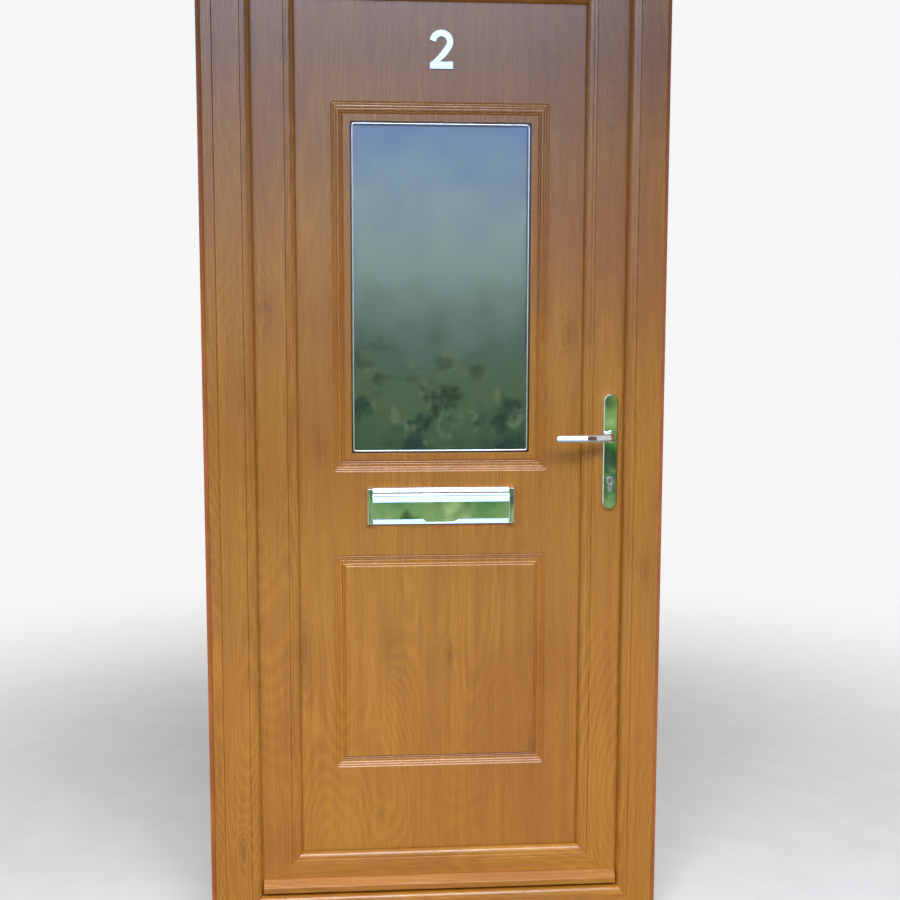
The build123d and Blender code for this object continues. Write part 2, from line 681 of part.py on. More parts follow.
def sash_members():
    """The four mitred lengths of the sash, with the pockets for the lock in the closing stile."""
    section = sash_section()
    lock = mitred(section, "right", SASH_OUTSET)
    edge = SASH_EDGE
    groove_half = FACEPLATE_WIDTH / 2 + BOLT_CLEARANCE
    middle = FRAME_HEIGHT / 2
    right = FRAME_WIDTH / 2
    lock -= block(
        (right - edge - FACEPLATE_THICKNESS, right - edge + OVERCUT),
        (deep(LOCK_CENTRE_DEPTH - groove_half), deep(LOCK_CENTRE_DEPTH + groove_half)),
        (middle - FACEPLATE_LENGTH / 2 - BOLT_CLEARANCE, middle + FACEPLATE_LENGTH / 2 + BOLT_CLEARANCE),
    )
    half = LOCK_CASE_THICKNESS / 2 + BOLT_CLEARANCE
    depth = (deep(LOCK_CENTRE_DEPTH - half), deep(LOCK_CENTRE_DEPTH + half))
    low = CYLINDER_HEIGHT - LOCK_CASE_BELOW - BOLT_CLEARANCE
    high = SPINDLE_HEIGHT + LOCK_CASE_ABOVE + BOLT_CLEARANCE
    lock -= block((LOCK_EDGE_X - LOCK_CASE_REACH - BOLT_CLEARANCE, LOCK_EDGE_X), depth, (low, high))
    for height in (HOOK_LOWER_HEIGHT, HOOK_UPPER_HEIGHT):
        lock -= block(
            (LOCK_EDGE_X - HOOK_CASE_REACH - BOLT_CLEARANCE, LOCK_EDGE_X),
            depth,
            (height - HOOK_CASE_BELOW - BOLT_CLEARANCE, height + HOOK_CASE_ABOVE + BOLT_CLEARANCE),
        )
    for hole in leaf_drillings(BOLT_CLEARANCE):
        lock -= hole
    hinge_side = mitred(section, "left", SASH_OUTSET)
    for place in flag_screw_places():
        hinge_side -= screw(place, (0, -1, 0), SCREW_SLACK)
    return {
        "sash_stile_hinge_side": hinge_side,
        "sash_stile_lock_side": lock,
        "sash_rail_top": mitred(section, "head", SASH_OUTSET),
        "sash_rail_bottom": mitred(section, "foot", SASH_OUTSET),
    }


def leaf_drillings(spare):
    """The holes through the leaf for the spindle, the cylinder and the backplate screws."""
    ends = (SASH_FACE - OVERCUT, SASH_BACK + OVERCUT)
    holes = [
        through_leaf(Circle(FOLLOWER_RADIUS + spare), SPINDLE_X, SPINDLE_HEIGHT, *ends),
        through_leaf(euro_section(spare), SPINDLE_X, CYLINDER_HEIGHT, *ends),
    ]
    for z in backplate_screw_heights():
        holes.append(through_leaf(Circle(BACKPLATE_BOSS_RADIUS + spare), SPINDLE_X, z, *ends))
    return holes


def backplate_screw_heights():
    """The heights of the two screws that clamp the backplates together."""
    half = BACKPLATE_SCREW_SPACING / 2
    return BACKPLATE_CENTRE - half, BACKPLATE_CENTRE + half


def sash_steels():
    """A reinforcing tube behind the lock in each sash member, drilled where the handles pass."""
    gap = STEEL_CLEARANCE
    back = SASH_BACK - SASH_FLANGE_DEPTH + PROFILE_WALL - gap
    low = SASH_FLANGE_REACH + PROFILE_WALL + gap
    high = REBATE_FLOOR - PROFILE_WALL - gap
    section = steel_tube(low, high, back - SASH_STEEL_DEPTH, back)
    bars = [mitred(section, side, SASH_OUTSET) for side in ("left", "head", "right", "foot")]
    for hole in leaf_drillings(BOLT_CLEARANCE):
        bars[2] -= hole
    return Compound(children=[bar.solid() for bar in bars])


def sash_gasket():
    """The seal on the sash's inner flange, which closes on the frame's inner face."""
    low = SASH_GASKET_INSET
    section = chamber(low, low + GASKET_WIDTH, FRAME_DEPTH + GASKET_CLEARANCE, FRAME_DEPTH + GASKET_GAP)
    section = fillet(section.vertices().group_by(Axis.Y)[0], GASKET_ROUND)
    return ring(section, SASH_OUTSET)


def glazing_beads():
    """Four mitred beads on the room side, each with a clip leg in the sash's groove."""
    front = PANEL_BACK + PANEL_INNER_GAP
    back = SASH_BACK - GLAZING_BEAD_SET_BACK
    clip = SASH_BACK - BEAD_CLIP_HEIGHT
    clip_top = clip + BEAD_CLIP_THICKNESS
    clip_end = REBATE_FLOOR - BEAD_CLIP_REACH
    inner = REBATE_FLOOR + GLAZING_BEAD_WIDTH
    start = (inner, back - GLAZING_BEAD_ROUND)
    end = (inner - GLAZING_BEAD_ROUND, back)
    sag = GLAZING_BEAD_ROUND * (1 - math.sqrt(0.5))
    floor = REBATE_FLOOR
    section = outline(
        Polyline(end, (floor, back), (floor, clip_top), (clip_end, clip_top), (clip_end, clip)),
        Polyline((clip_end, clip), (floor, clip), (floor, front), (inner, front), start),
        ThreePointArc(start, (inner - sag, back - sag), end),
    )
    wall = GLAZING_BEAD_WALL
    section -= chamber(floor + wall, inner - wall, front + wall, start[1] - wall)
    bars = [mitred(section, side, SASH_OUTSET) for side in ("left", "head", "right", "foot")]
    return Compound(children=[bar.solid() for bar in bars])


def panel_gaskets():
    """The wedge seals that grip the panel between the sash's lip and the beads."""
    high = SIGHT_EDGE - PANEL_GASKET_SET_BACK
    low = high - GASKET_WIDTH
    outer = chamber(low, high, SASH_FACE + SASH_LIP_DEPTH, PANEL_FACE)
    inner = chamber(low, high, PANEL_BACK, PANEL_BACK + PANEL_INNER_GAP)
    return ring(outer, SASH_OUTSET), ring(inner, SASH_OUTSET)


def panel_packers():
    """Blocks that centre the panel in the sash's rebate, near the ends of each side."""
    outer = SASH_OUTSET + REBATE_FLOOR
    inner = SASH_OUTSET + PANEL_EDGE
    half = FRAME_WIDTH / 2
    depth = (deep(PANEL_FACE), deep(PANEL_BACK))
    packers = []
    run = FRAME_HEIGHT - 2 * inner
    step = run * PACKER_SIDE_PLACE
    for z in (inner + step, FRAME_HEIGHT - inner - step):
        for sign in (-1, 1):
            x = sorted((sign * (half - outer), sign * (half - inner)))
            packers.append(block(x, depth, (z - PACKER_LENGTH / 2, z + PACKER_LENGTH / 2)))
    step = (FRAME_WIDTH - 2 * inner) * PACKER_END_PLACE
    for x in (-step, step):
        for z in ((outer, inner), (FRAME_HEIGHT - inner, FRAME_HEIGHT - outer)):
            packers.append(block((x - PACKER_LENGTH / 2, x + PACKER_LENGTH / 2), depth, z))
    return Compound(children=[packer.solid() for packer in packers])


def rounded_face(width, height, radius, depth):
    """A rectangle with rounded corners, flat on the panel at this depth below its face."""
    shape = RectangleRounded(width, height, radius) if radius > 0 else Rectangle(width, height)
    return Plane(origin=(0, depth, 0), x_dir=(1, 0, 0), z_dir=(0, -1, 0)) * shape


def stepped_slope(start, reach):
    """The reeded slope of a channel as (distance across, depth) pairs: three risers and two
    shallow treads between them."""
    riser, tread = reach * REED_RISER, reach * REED_TREAD
    drop, fall = CHANNEL_DEPTH * REED_DROP, CHANNEL_DEPTH * REED_FALL
    points = [(start, 0.0)]
    for number in range(3):
        across, depth = points[-1]
        points.append((across + riser, depth + drop))
        if number < 2:
            across, depth = points[-1]
            points.append((across + tread, depth + fall))
    return points[:-1] + [(start + reach, CHANNEL_DEPTH)]


def frustum(width, height, radius, a, b):
    """A tapered slice of the moulding between two (inset, depth) pairs of its slope."""
    faces = []
    for inset, depth in (a, b):
        size = (width - 2 * inset, height - 2 * inset)
        faces.append(rounded_face(*size, max(radius - inset, 0), depth))
    return loft(faces, ruled=True)


def moulded_channel(height):
    """The space of one recessed channel round a raised field, cut from a flat face at depth 0."""
    outer = stepped_slope(0.0, CHANNEL_OUTER_SLOPE)
    space = None
    for a, b in zip(outer, outer[1:]):
        piece = frustum(MOULDING_WIDTH, height, CHANNEL_CORNER_RADIUS, a, b)
        space = piece if space is None else space + piece
    inner = stepped_slope(0.0, CHANNEL_INNER_SLOPE)
    for a, b in zip(inner, inner[1:]):
        upper, lower = (FIELD_EDGE - a[0], a[1]), (FIELD_EDGE - b[0], b[1])
        space -= frustum(MOULDING_WIDTH, height, 0, upper, lower)
    return space


def channel_backing(height, spare):
    """The plain ring behind a channel where the skin stands into the core."""
    inset = -CHANNEL_BACK_MARGIN - spare
    outer = (MOULDING_WIDTH - 2 * inset, height - 2 * inset)
    inner_inset = FIELD_EDGE + CHANNEL_BACK_MARGIN + spare
    inner = (MOULDING_WIDTH - 2 * inner_inset, height - 2 * inner_inset)
    depth = CHANNEL_DEPTH + SKIN_THICKNESS
    solid = Pos(0, depth / 2, 0) * Box(outer[0], depth, outer[1])
    return solid - Pos(0, depth / 2, 0) * Box(inner[0], depth, inner[1])


def mouldings():
    """The centre height and the height of the glazed and the blind moulding."""
    return (
        (LITE_CENTRE, LITE_TOP - LITE_BOTTOM),
        ((FIELD_TOP + FIELD_BOTTOM) / 2, FIELD_TOP - FIELD_BOTTOM),
    )


def lite_opening():
    """The hole through the panel for the glass unit."""
    x = (-OPENING_WIDTH / 2, OPENING_WIDTH / 2)
    z = (LITE_CENTRE - OPENING_HEIGHT / 2, LITE_CENTRE + OPENING_HEIGHT / 2)
    return block(x, (deep(PANEL_FACE - OVERCUT), deep(PANEL_BACK + OVERCUT)), z)


def sleeve_size():
    """The outer width and height of the letterplate's sleeve."""
    return SLOT_WIDTH + 2 * SLEEVE_WALL, SLOT_HEIGHT + 2 * SLEEVE_WALL


def panel_cuts():
    """The openings through the panel: glass, letter slot, letterplate bolts and numeral pins."""
    width, height = sleeve_size()
    spare = SLEEVE_CLEARANCE
    ends = (PANEL_FACE - OVERCUT, PANEL_BACK + OVERCUT)
    cuts = [lite_opening()]
    slot = Rectangle(width + 2 * spare, height + 2 * spare)
    cuts.append(through_leaf(slot, 0, PLATE_CENTRE, *ends))
    for sign in (-1, 1):
        hole = Circle(PLATE_BOLT_RADIUS + spare)
        cuts.append(through_leaf(hole, sign * PLATE_BOLT_SPACING / 2, PLATE_CENTRE, *ends))
    pin_end = PANEL_FACE + NUMERAL_PIN_LENGTH + NUMERAL_PIN_CLEARANCE
    for x, z in numeral_pin_places():
        hole = Circle(NUMERAL_PIN_RADIUS + NUMERAL_PIN_CLEARANCE)
        cuts.append(through_leaf(hole, x, z, PANEL_FACE - OVERCUT, pin_end))
    return cuts


def door_panel():
    """The outer skin, the foam core and the inner skin."""
    edge = SASH_OUTSET + PANEL_EDGE
    x = (-FRAME_WIDTH / 2 + edge, FRAME_WIDTH / 2 - edge)
    z = (edge, FRAME_HEIGHT - edge)
    outer = block(x, (deep(PANEL_FACE), deep(PANEL_FACE + SKIN_THICKNESS)), z)
    inner = block(x, (deep(PANEL_BACK - SKIN_THICKNESS), deep(PANEL_BACK)), z)
    core = block(x, (deep(PANEL_FACE + SKIN_THICKNESS), deep(PANEL_BACK - SKIN_THICKNESS)), z)
    for centre, height in mouldings():
        channel = moulded_channel(height)
        backing = channel_backing(height, 0)
        front = Pos(0, deep(PANEL_FACE), centre)
        back = Pos(0, deep(PANEL_BACK), centre) * Rot(0, 0, 180)
        outer = outer + front * backing - front * channel
        inner = inner + back * backing - back * channel
        core = core - front * backing - back * backing
    for cut in panel_cuts():
        outer -= cut
        inner -= cut
        core -= cut
    return {"panel_outer_skin": outer, "panel_foam_core": core, "panel_inner_skin": inner}


def lite_bead(face, inward):
    """A bead ring in the panel's opening: a flat strip on show and a leg beside the glass unit."""
    width = OPENING_WIDTH - 2 * BEAD_CLEARANCE
    height = OPENING_HEIGHT - 2 * BEAD_CLEARANCE
    sight = (OPENING_WIDTH - 2 * BEAD_STRIP_WIDTH, OPENING_HEIGHT - 2 * BEAD_STRIP_WIDTH)
    step = 1 if inward else -1
    strip = through_leaf(
        Rectangle(width, height) - RectangleRounded(*sight, BEAD_CORNER_RADIUS),
        0,
        LITE_CENTRE,
        *sorted((face, face + step * BEAD_STRIP_THICKNESS)),
    )
    thick = 2 * BEAD_LEG_THICKNESS
    leg = Rectangle(width, height) - Rectangle(width - thick, height - thick)
    depth = sorted((face + step * BEAD_STRIP_THICKNESS, face + step * BEAD_LEG_DEPTH))
    return strip + through_leaf(leg, 0, LITE_CENTRE, *depth)


def glass_unit():
    """Two panes either side of a spacer, held between the bead strips."""
    width = OPENING_WIDTH - 2 * (BEAD_CLEARANCE + BEAD_LEG_THICKNESS + GLASS_CLEARANCE)
    height = OPENING_HEIGHT - 2 * (BEAD_CLEARANCE + BEAD_LEG_THICKNESS + GLASS_CLEARANCE)
    front = PANEL_FACE + BEAD_STRIP_THICKNESS + GLASS_CLEARANCE
    back = PANEL_BACK - BEAD_STRIP_THICKNESS - GLASS_CLEARANCE
    pane = Rectangle(width, height)
    outer = through_leaf(pane, 0, LITE_CENTRE, front, front + GLASS_THICKNESS)
    inner = through_leaf(pane, 0, LITE_CENTRE, back - GLASS_THICKNESS, back)
    hollow = Rectangle(width - 2 * SPACER_WIDTH, height - 2 * SPACER_WIDTH)
    spacer = through_leaf(pane - hollow, 0, LITE_CENTRE, front + GLASS_THICKNESS, back - GLASS_THICKNESS)
    return Compound(children=[outer.solid(), inner.solid()]), spacer


def weather_bar():
    """The hollow drip bar across the foot of the leaf."""
    face = SASH_FACE
    nose = face - BAR_PROJECTION
    top = BAR_BOTTOM + BAR_HEIGHT
    shape = [
        (face, BAR_BOTTOM + BAR_DRIP_LIFT),
        (nose + BAR_LIP_WIDTH, BAR_BOTTOM),
        (nose, BAR_BOTTOM + BAR_LIP_HEIGHT),
        (nose, BAR_BOTTOM + BAR_NOSE_HEIGHT),
        (nose + BAR_SHOULDER, BAR_BOTTOM + BAR_NOSE_HEIGHT + BAR_SHOULDER),
        (face - BAR_LIP_WIDTH, top),
        (face, top),
    ]
    section = make_face(Polyline(*shape, close=True))
    section -= offset(section, amount=-BAR_WALL)
    place = Plane(origin=(-BAR_LENGTH / 2, OUTER_FACE, 0), x_dir=(0, 1, 0), z_dir=(1, 0, 0))
    bar = place * extrude(section, amount=BAR_LENGTH)
    ends = make_face(Polyline(*shape, close=True))
    for x in (-BAR_LENGTH / 2, BAR_LENGTH / 2 - BAR_WALL):
        cap = Plane(origin=(x, OUTER_FACE, 0), x_dir=(0, 1, 0), z_dir=(1, 0, 0))
        bar += cap * extrude(ends, amount=BAR_WALL)
    return bar


def numeral_pin_places():
    """Where the numeral's two pins go into the panel: the top of the bowl and the foot."""
    top = NUMERAL_CENTRE + NUMERAL_HEIGHT / 2 - NUMERAL_STROKE / 2
    foot = NUMERAL_CENTRE - NUMERAL_HEIGHT / 2 + NUMERAL_BASE / 2
    return (0.0, top), (0.0, foot)


def numeral_two():
    """The house number 2: a bowl, a sweeping stem and a foot, with two pins behind."""
    half = NUMERAL_WIDTH / 2
    inner = half - NUMERAL_STROKE
    bowl = NUMERAL_HEIGHT - half
    base = NUMERAL_BASE
    hook = bowl + NUMERAL_HOOK_RISE
    turn = math.radians(NUMERAL_STEM_TURN)
    foot = -half * STEM_FOOT_SHARE
    heel = base * HEEL_SHARE

    def middle(shares, across, rise, start):
        """An arc's middle point, at these shares of a width and of a rise above a start."""
        return (across * shares[0], start + rise * shares[1])

    outer_turn = (half * math.cos(turn), bowl + half * math.sin(turn))
    inner_turn = (inner * math.cos(turn), bowl + inner * math.sin(turn))
    shape = outline(
        Line((-inner, bowl), (-half, hook)),
        ThreePointArc((-half, hook), middle(HOOK_OUTER_MIDDLE, -half, half, bowl), (0, NUMERAL_HEIGHT)),
        ThreePointArc((0, NUMERAL_HEIGHT), middle(BOWL_OUTER_MIDDLE, half, half, bowl), outer_turn),
        ThreePointArc(outer_turn, middle(STEM_RIGHT_MIDDLE, half, bowl, 0), (foot, base)),
        Polyline((foot, base), (half, base), (half, 0), (-half, 0), (-half, heel)),
        ThreePointArc((-half, heel), middle(STEM_LEFT_MIDDLE, -half, bowl, 0), inner_turn),
        ThreePointArc(inner_turn, middle(BOWL_INNER_MIDDLE, inner, inner, bowl), (0, bowl + inner)),
        ThreePointArc((0, bowl + inner), middle(HOOK_INNER_MIDDLE, -inner, inner, bowl), (-inner, bowl)),
    )
    low = NUMERAL_CENTRE - NUMERAL_HEIGHT / 2
    front = PANEL_FACE - NUMERAL_THICKNESS
    number = through_leaf(shape, 0, low, front, PANEL_FACE)
    for x, z in numeral_pin_places():
        number += through_leaf(Circle(NUMERAL_PIN_RADIUS), x, z, PANEL_FACE, PANEL_FACE + NUMERAL_PIN_LENGTH)
    return number


def flap_axis():
    """The distance from the panel's face and the height of the axis that a letterplate flap turns on."""
    out = FLAP_BARREL_RADIUS + FLAP_CLEARANCE
    height = PLATE_CENTRE + PLATE_HEIGHT / 2 - PLATE_TOP_BAR - FLAP_CLEARANCE - FLAP_BARREL_RADIUS
    return out, height


def letterplate_frame(face, outside):
    """One face frame of the letterplate: a plate with the slot, a top bar, a bottom rail and two end
    caps with blind holes for the flap's pivots. It stands out from the panel face at this depth."""
    half_w, half_h = PLATE_WIDTH / 2, PLATE_HEIGHT / 2
    z0, z1 = PLATE_CENTRE - half_h, PLATE_CENTRE + half_h
    out, axis_height = flap_axis()
    body = block((-half_w, half_w), (-PLATE_THICKNESS, 0), (z0, z1))
    body += block((-half_w, half_w), (-PLATE_BAR_DEPTH, 0), (z1 - PLATE_TOP_BAR, z1))
    body += block((-half_w, half_w), (-PLATE_RAIL_DEPTH, 0), (z0, z0 + PLATE_RAIL))
    for sign in (-1, 1):
        cap_x = sorted((sign * half_w, sign * (half_w - PLATE_CAP_WIDTH)))
        cap = block(cap_x, (-PLATE_CAP_DEPTH, 0), (z0, z1))
        front = cap.faces().sort_by(Axis.Y)[0]
        body += fillet(front.edges(), PLATE_CAP_ROUND)
    if outside:
        rise = math.sqrt(PULL_NOTCH_RADIUS**2 - (PULL_NOTCH_WIDTH / 2) ** 2)
        centre = (0, -PLATE_THICKNESS, z0 + PLATE_RAIL + rise)
        scoop = rod(centre, PULL_NOTCH_RADIUS, PLATE_CAP_DEPTH, (0, -1, 0))
        body -= scoop & block(
            (-PULL_NOTCH_WIDTH / 2, PULL_NOTCH_WIDTH / 2),
            (-PLATE_CAP_DEPTH, -PLATE_THICKNESS),
            (z0 + PLATE_RAIL / 4, z0 + PLATE_RAIL + OVERCUT),
        )
    body -= block(
        (-SLOT_WIDTH / 2, SLOT_WIDTH / 2),
        (-PLATE_THICKNESS - OVERCUT, OVERCUT),
        (PLATE_CENTRE - SLOT_HEIGHT / 2, PLATE_CENTRE + SLOT_HEIGHT / 2),
    )
    trough = FLAP_BARREL_RADIUS + FLAP_CLEARANCE
    inner = half_w - PLATE_CAP_WIDTH
    through = (-PLATE_THICKNESS - OVERCUT, OVERCUT)
    body -= block((-inner, inner), through, (axis_height - trough, axis_height + trough))
    pivot = FLAP_PIVOT_RADIUS + RUNNING_CLEARANCE
    for sign in (-1, 1):
        start = (sign * inner, -out, axis_height)
        body -= rod(start, pivot, FLAP_PIVOT_LENGTH, (sign, 0, 0))
        bolt_x = sign * PLATE_BOLT_SPACING / 2
        depth = PLATE_BOLT_GRIP if outside else PLATE_CAP_DEPTH + OVERCUT
        body -= rod((bolt_x, OVERCUT, PLATE_CENTRE), PLATE_BOLT_RADIUS, depth + OVERCUT, (0, -1, 0))
        if not outside:
            head = (bolt_x, -PLATE_CAP_DEPTH + PLATE_BOLT_HEAD, PLATE_CENTRE)
            body -= rod(head, PLATE_BOLT_HEAD_RADIUS, PLATE_BOLT_HEAD + OVERCUT, (0, -1, 0))
    return on_panel_face(body, face, outside)


def on_panel_face(solid, face, outside):
    """A solid drawn in front of the plane Y = 0, set on the panel's outer or inner face."""
    turned = solid if outside else mirror(solid, about=Plane.XZ)
    return Pos(0, deep(face), 0) * turned


def letterplate_flap(face, outside):
    """A sprung flap: a barrel along its top that turns in the frame's end caps, and a flat blade."""
    out, height = flap_axis()
    half = PLATE_WIDTH / 2 - PLATE_CAP_WIDTH - FLAP_CLEARANCE
    barrel = rod((-half, -out, height), FLAP_BARREL_RADIUS, 2 * half, (1, 0, 0))
    low = PLATE_CENTRE - PLATE_HEIGHT / 2 + PLATE_RAIL + FLAP_CLEARANCE
    back = PLATE_THICKNESS + FLAP_CLEARANCE
    blade = block((-half, half), (-back - FLAP_THICKNESS, -back), (low, height))
    flap = barrel + blade
    for sign in (-1, 1):
        flap += rod((sign * half, -out, height), FLAP_PIVOT_RADIUS, FLAP_PIVOT_LENGTH, (sign, 0, 0))
    return on_panel_face(flap, face, outside)


def letterplate_sleeve():
    """The liner of the slot, from one face of the panel to the other."""
    width, height = sleeve_size()
    tube = Rectangle(width, height) - Rectangle(SLOT_WIDTH, SLOT_HEIGHT)
    return through_leaf(tube, 0, PLATE_CENTRE, PANEL_FACE, PANEL_BACK)


def letterplate_bolts():
    """Two bolts from the inner frame's end caps into blind holes in the outer frame's."""
    bolts = []
    start = deep(PANEL_BACK) + PLATE_CAP_DEPTH - PLATE_BOLT_HEAD
    length = PLATE_CAP_DEPTH - PLATE_BOLT_HEAD + PANEL_THICKNESS + PLATE_BOLT_GRIP - BOLT_END_GAP
    for sign in (-1, 1):
        place = (sign * PLATE_BOLT_SPACING / 2, start, PLATE_CENTRE)
        head_radius = PLATE_BOLT_HEAD_RADIUS - HEAD_CLEARANCE
        head = rod(place, head_radius, PLATE_BOLT_HEAD - BOLT_END_GAP, (0, 1, 0))
        shank = rod(place, PLATE_BOLT_RADIUS - BOLT_SLACK, length, (0, -1, 0))
        bolts.append((head + shank).solid())
    return Compound(children=bolts)


def backplate(outside):
    """A handle backplate with round ends and a bevelled rim, open for the lever and the cylinder."""
    face = SASH_FACE if outside else SASH_BACK
    shape = Rot(0, 0, 90) * SlotOverall(BACKPLATE_LENGTH, BACKPLATE_WIDTH)
    plate = through_leaf(shape, 0, BACKPLATE_CENTRE, -BACKPLATE_THICKNESS, 0)
    plate = chamfer(plate.faces().sort_by(Axis.Y)[0].edges(), BACKPLATE_RIM)
    plate = Pos(0, -OUTER_FACE, 0) * plate
    bore = Circle(LEVER_HUB_RADIUS + RUNNING_CLEARANCE)
    plate -= drilled(bore, SPINDLE_HEIGHT, BACKPLATE_THICKNESS + OVERCUT, OVERCUT)
    plate -= drilled(euro_section(BOLT_CLEARANCE), CYLINDER_HEIGHT, BACKPLATE_THICKNESS + OVERCUT, OVERCUT)
    for z in backplate_screw_heights():
        if outside:
            plate += rod((0, 0, z), BACKPLATE_BOSS_RADIUS, BACKPLATE_BOSS_LENGTH, (0, 1, 0))
            depth = BACKPLATE_BOSS_LENGTH + BACKPLATE_SCREW_GRIP
            plate -= rod((0, BACKPLATE_BOSS_LENGTH, z), BACKPLATE_SCREW_RADIUS, depth, (0, -1, 0))
        else:
            plate -= drilled(Circle(BACKPLATE_SCREW_RADIUS), z, BACKPLATE_THICKNESS + OVERCUT, OVERCUT)
            head = (0, -BACKPLATE_THICKNESS + BACKPLATE_SCREW_HEAD, z)
            plate -= rod(head, BACKPLATE_SCREW_HEAD_RADIUS, BACKPLATE_SCREW_HEAD + OVERCUT, (0, -1, 0))
    return Pos(SPINDLE_X, 0, 0) * on_panel_face(plate, face, outside)


def drilled(section, height, front, behind):
    """A section cut from front to behind the plane Y = 0, at this height."""
    place = Plane(origin=(0, -front, height), x_dir=(1, 0, 0), z_dir=(0, -1, 0))
    return place * extrude(section, amount=-(front + behind))


def backplate_screws():
    """Two screws from the inner backplate into the posts behind the outer one."""
    screws = []
    start = deep(SASH_BACK) + BACKPLATE_THICKNESS - BACKPLATE_SCREW_HEAD
    length = BACKPLATE_THICKNESS - BACKPLATE_SCREW_HEAD + SASH_DEPTH + BACKPLATE_SCREW_GRIP - BOLT_END_GAP
    for z in backplate_screw_heights():
        place = (SPINDLE_X, start, z)
        head_radius = BACKPLATE_SCREW_HEAD_RADIUS - HEAD_CLEARANCE
        head = rod(place, head_radius, BACKPLATE_SCREW_HEAD - BOLT_END_GAP, (0, 1, 0))
        shank = rod(place, BACKPLATE_SCREW_RADIUS - BOLT_SLACK, length, (0, -1, 0))
        screws.append((head + shank).solid())
    return Compound(children=screws)


def lever(outside):
    """A lever handle: a hub that turns in the backplate, a collar, and an arm that bends once and
    runs level towards the middle of the door."""
    face = SASH_FACE if outside else SASH_BACK
    plate_face = -BACKPLATE_THICKNESS
    collar_back = plate_face - LEVER_END_PLAY
    hub_length = BACKPLATE_THICKNESS + LEVER_COLLAR_LENGTH / 2
    hub = rod((0, -LEVER_END_PLAY, 0), LEVER_HUB_RADIUS, hub_length, (0, -1, 0))
    hub += rod((0, collar_back, 0), LEVER_COLLAR_RADIUS, LEVER_COLLAR_LENGTH, (0, -1, 0))
    neck = collar_back - LEVER_COLLAR_LENGTH
    arm_y = plate_face - LEVER_STANDOFF
    path = FilletPolyline((0, neck, 0), (0, arm_y, 0), (-LEVER_LENGTH, arm_y, 0), radius=LEVER_BEND)
    shape = RectangleRounded(LEVER_DEPTH, LEVER_HEIGHT, LEVER_ROUND)
    section = Plane(origin=(0, neck, 0), x_dir=(1, 0, 0), z_dir=(0, -1, 0)) * shape
    arm = sweep(section, path=path)
    arm = fillet(arm.faces().sort_by(Axis.X)[0].edges(), LEVER_TIP_ROUND)
    handle = hub + arm
    socket = SPINDLE_SIDE + 2 * SPINDLE_SLACK
    handle -= Pos(0, -SPINDLE_SOCKET / 2, 0) * Box(socket, SPINDLE_SOCKET, socket)
    return Pos(SPINDLE_X, 0, SPINDLE_HEIGHT) * on_panel_face(handle, face, outside)


def spindle():
    """The square bar that joins the two levers through the lock's follower."""
    end = SPINDLE_SOCKET - SPINDLE_END_GAP
    middle = (SASH_FACE + SASH_BACK) / 2
    length = SASH_DEPTH + 2 * end
    return Pos(SPINDLE_X, deep(middle), SPINDLE_HEIGHT) * Box(SPINDLE_SIDE, length, SPINDLE_SIDE)


def at_lock(x, half_thickness, z):
    """A box in the lock, measured from the leaf's closing edge and centred on the lock's depth."""
    depth = (deep(LOCK_CENTRE_DEPTH - half_thickness), deep(LOCK_CENTRE_DEPTH + half_thickness))
    return block((LOCK_EDGE_X + x[0], LOCK_EDGE_X + x[1]), depth, z)


def lock_follower():
    """The lock's follower: a boss on the spindle with a lobe that draws the latch back."""
    half = LOCK_CASE_THICKNESS / 2
    inner = half - LOCK_CASE_WALL - BOLT_CLEARANCE
    lock_y = LOCK_CENTRE_DEPTH
    boss = through_leaf(Circle(FOLLOWER_BOSS_RADIUS), SPINDLE_X, SPINDLE_HEIGHT, lock_y - half, lock_y + half)
    disc = through_leaf(Circle(FOLLOWER_RADIUS), SPINDLE_X, SPINDLE_HEIGHT, lock_y - inner, lock_y + inner)
    lobe_x = (-BACKSET - FOLLOWER_LOBE_WIDTH / 2, -BACKSET + FOLLOWER_LOBE_WIDTH / 2)
    lobe = at_lock(lobe_x, inner, (SPINDLE_HEIGHT, SPINDLE_HEIGHT + FOLLOWER_LOBE_REACH))
    side = SPINDLE_SIDE + 2 * SPINDLE_SLACK
    through = LOCK_CASE_THICKNESS + 2 * OVERCUT
    hole = Pos(SPINDLE_X, deep(lock_y), SPINDLE_HEIGHT) * Box(side, through, side)
    return boss + disc + lobe - hole


def latch():
    """The latch: a bevelled head in the leaf's edge and a tail that hooks over the follower's lobe."""
    centre = SPINDLE_HEIGHT + LATCH_RAISE
    low, high = centre - LATCH_HEIGHT / 2, centre + LATCH_HEIGHT / 2
    half = LATCH_THICKNESS / 2
    tail_face = -BACKSET - FOLLOWER_LOBE_WIDTH / 2 - BOLT_CLEARANCE
    head = at_lock((-LATCH_HEAD_LENGTH, LATCH_PROJECTION), half, (low, high))
    bevel = make_face(
        Polyline(
            (LATCH_PROJECTION + OVERCUT, -half - OVERCUT),
            (LATCH_PROJECTION + OVERCUT, half - LATCH_NOSE_THICKNESS + OVERCUT),
            (BOLT_CLEARANCE - OVERCUT, -half - OVERCUT),
            close=True,
        )
    )
    start = (LOCK_EDGE_X, deep(LOCK_CENTRE_DEPTH), low - OVERCUT)
    place = Plane(origin=start, x_dir=(1, 0, 0), z_dir=(0, 0, 1))
    head -= place * extrude(bevel, amount=LATCH_HEIGHT + 2 * OVERCUT)
    bar = at_lock((tail_face - LATCH_TAIL_WIDTH, -LATCH_HEAD_LENGTH), half, (high - LATCH_BAR_HEIGHT, high))
    tail = at_lock((tail_face - LATCH_TAIL_WIDTH, tail_face), half, (low, high))
    return head + bar + tail


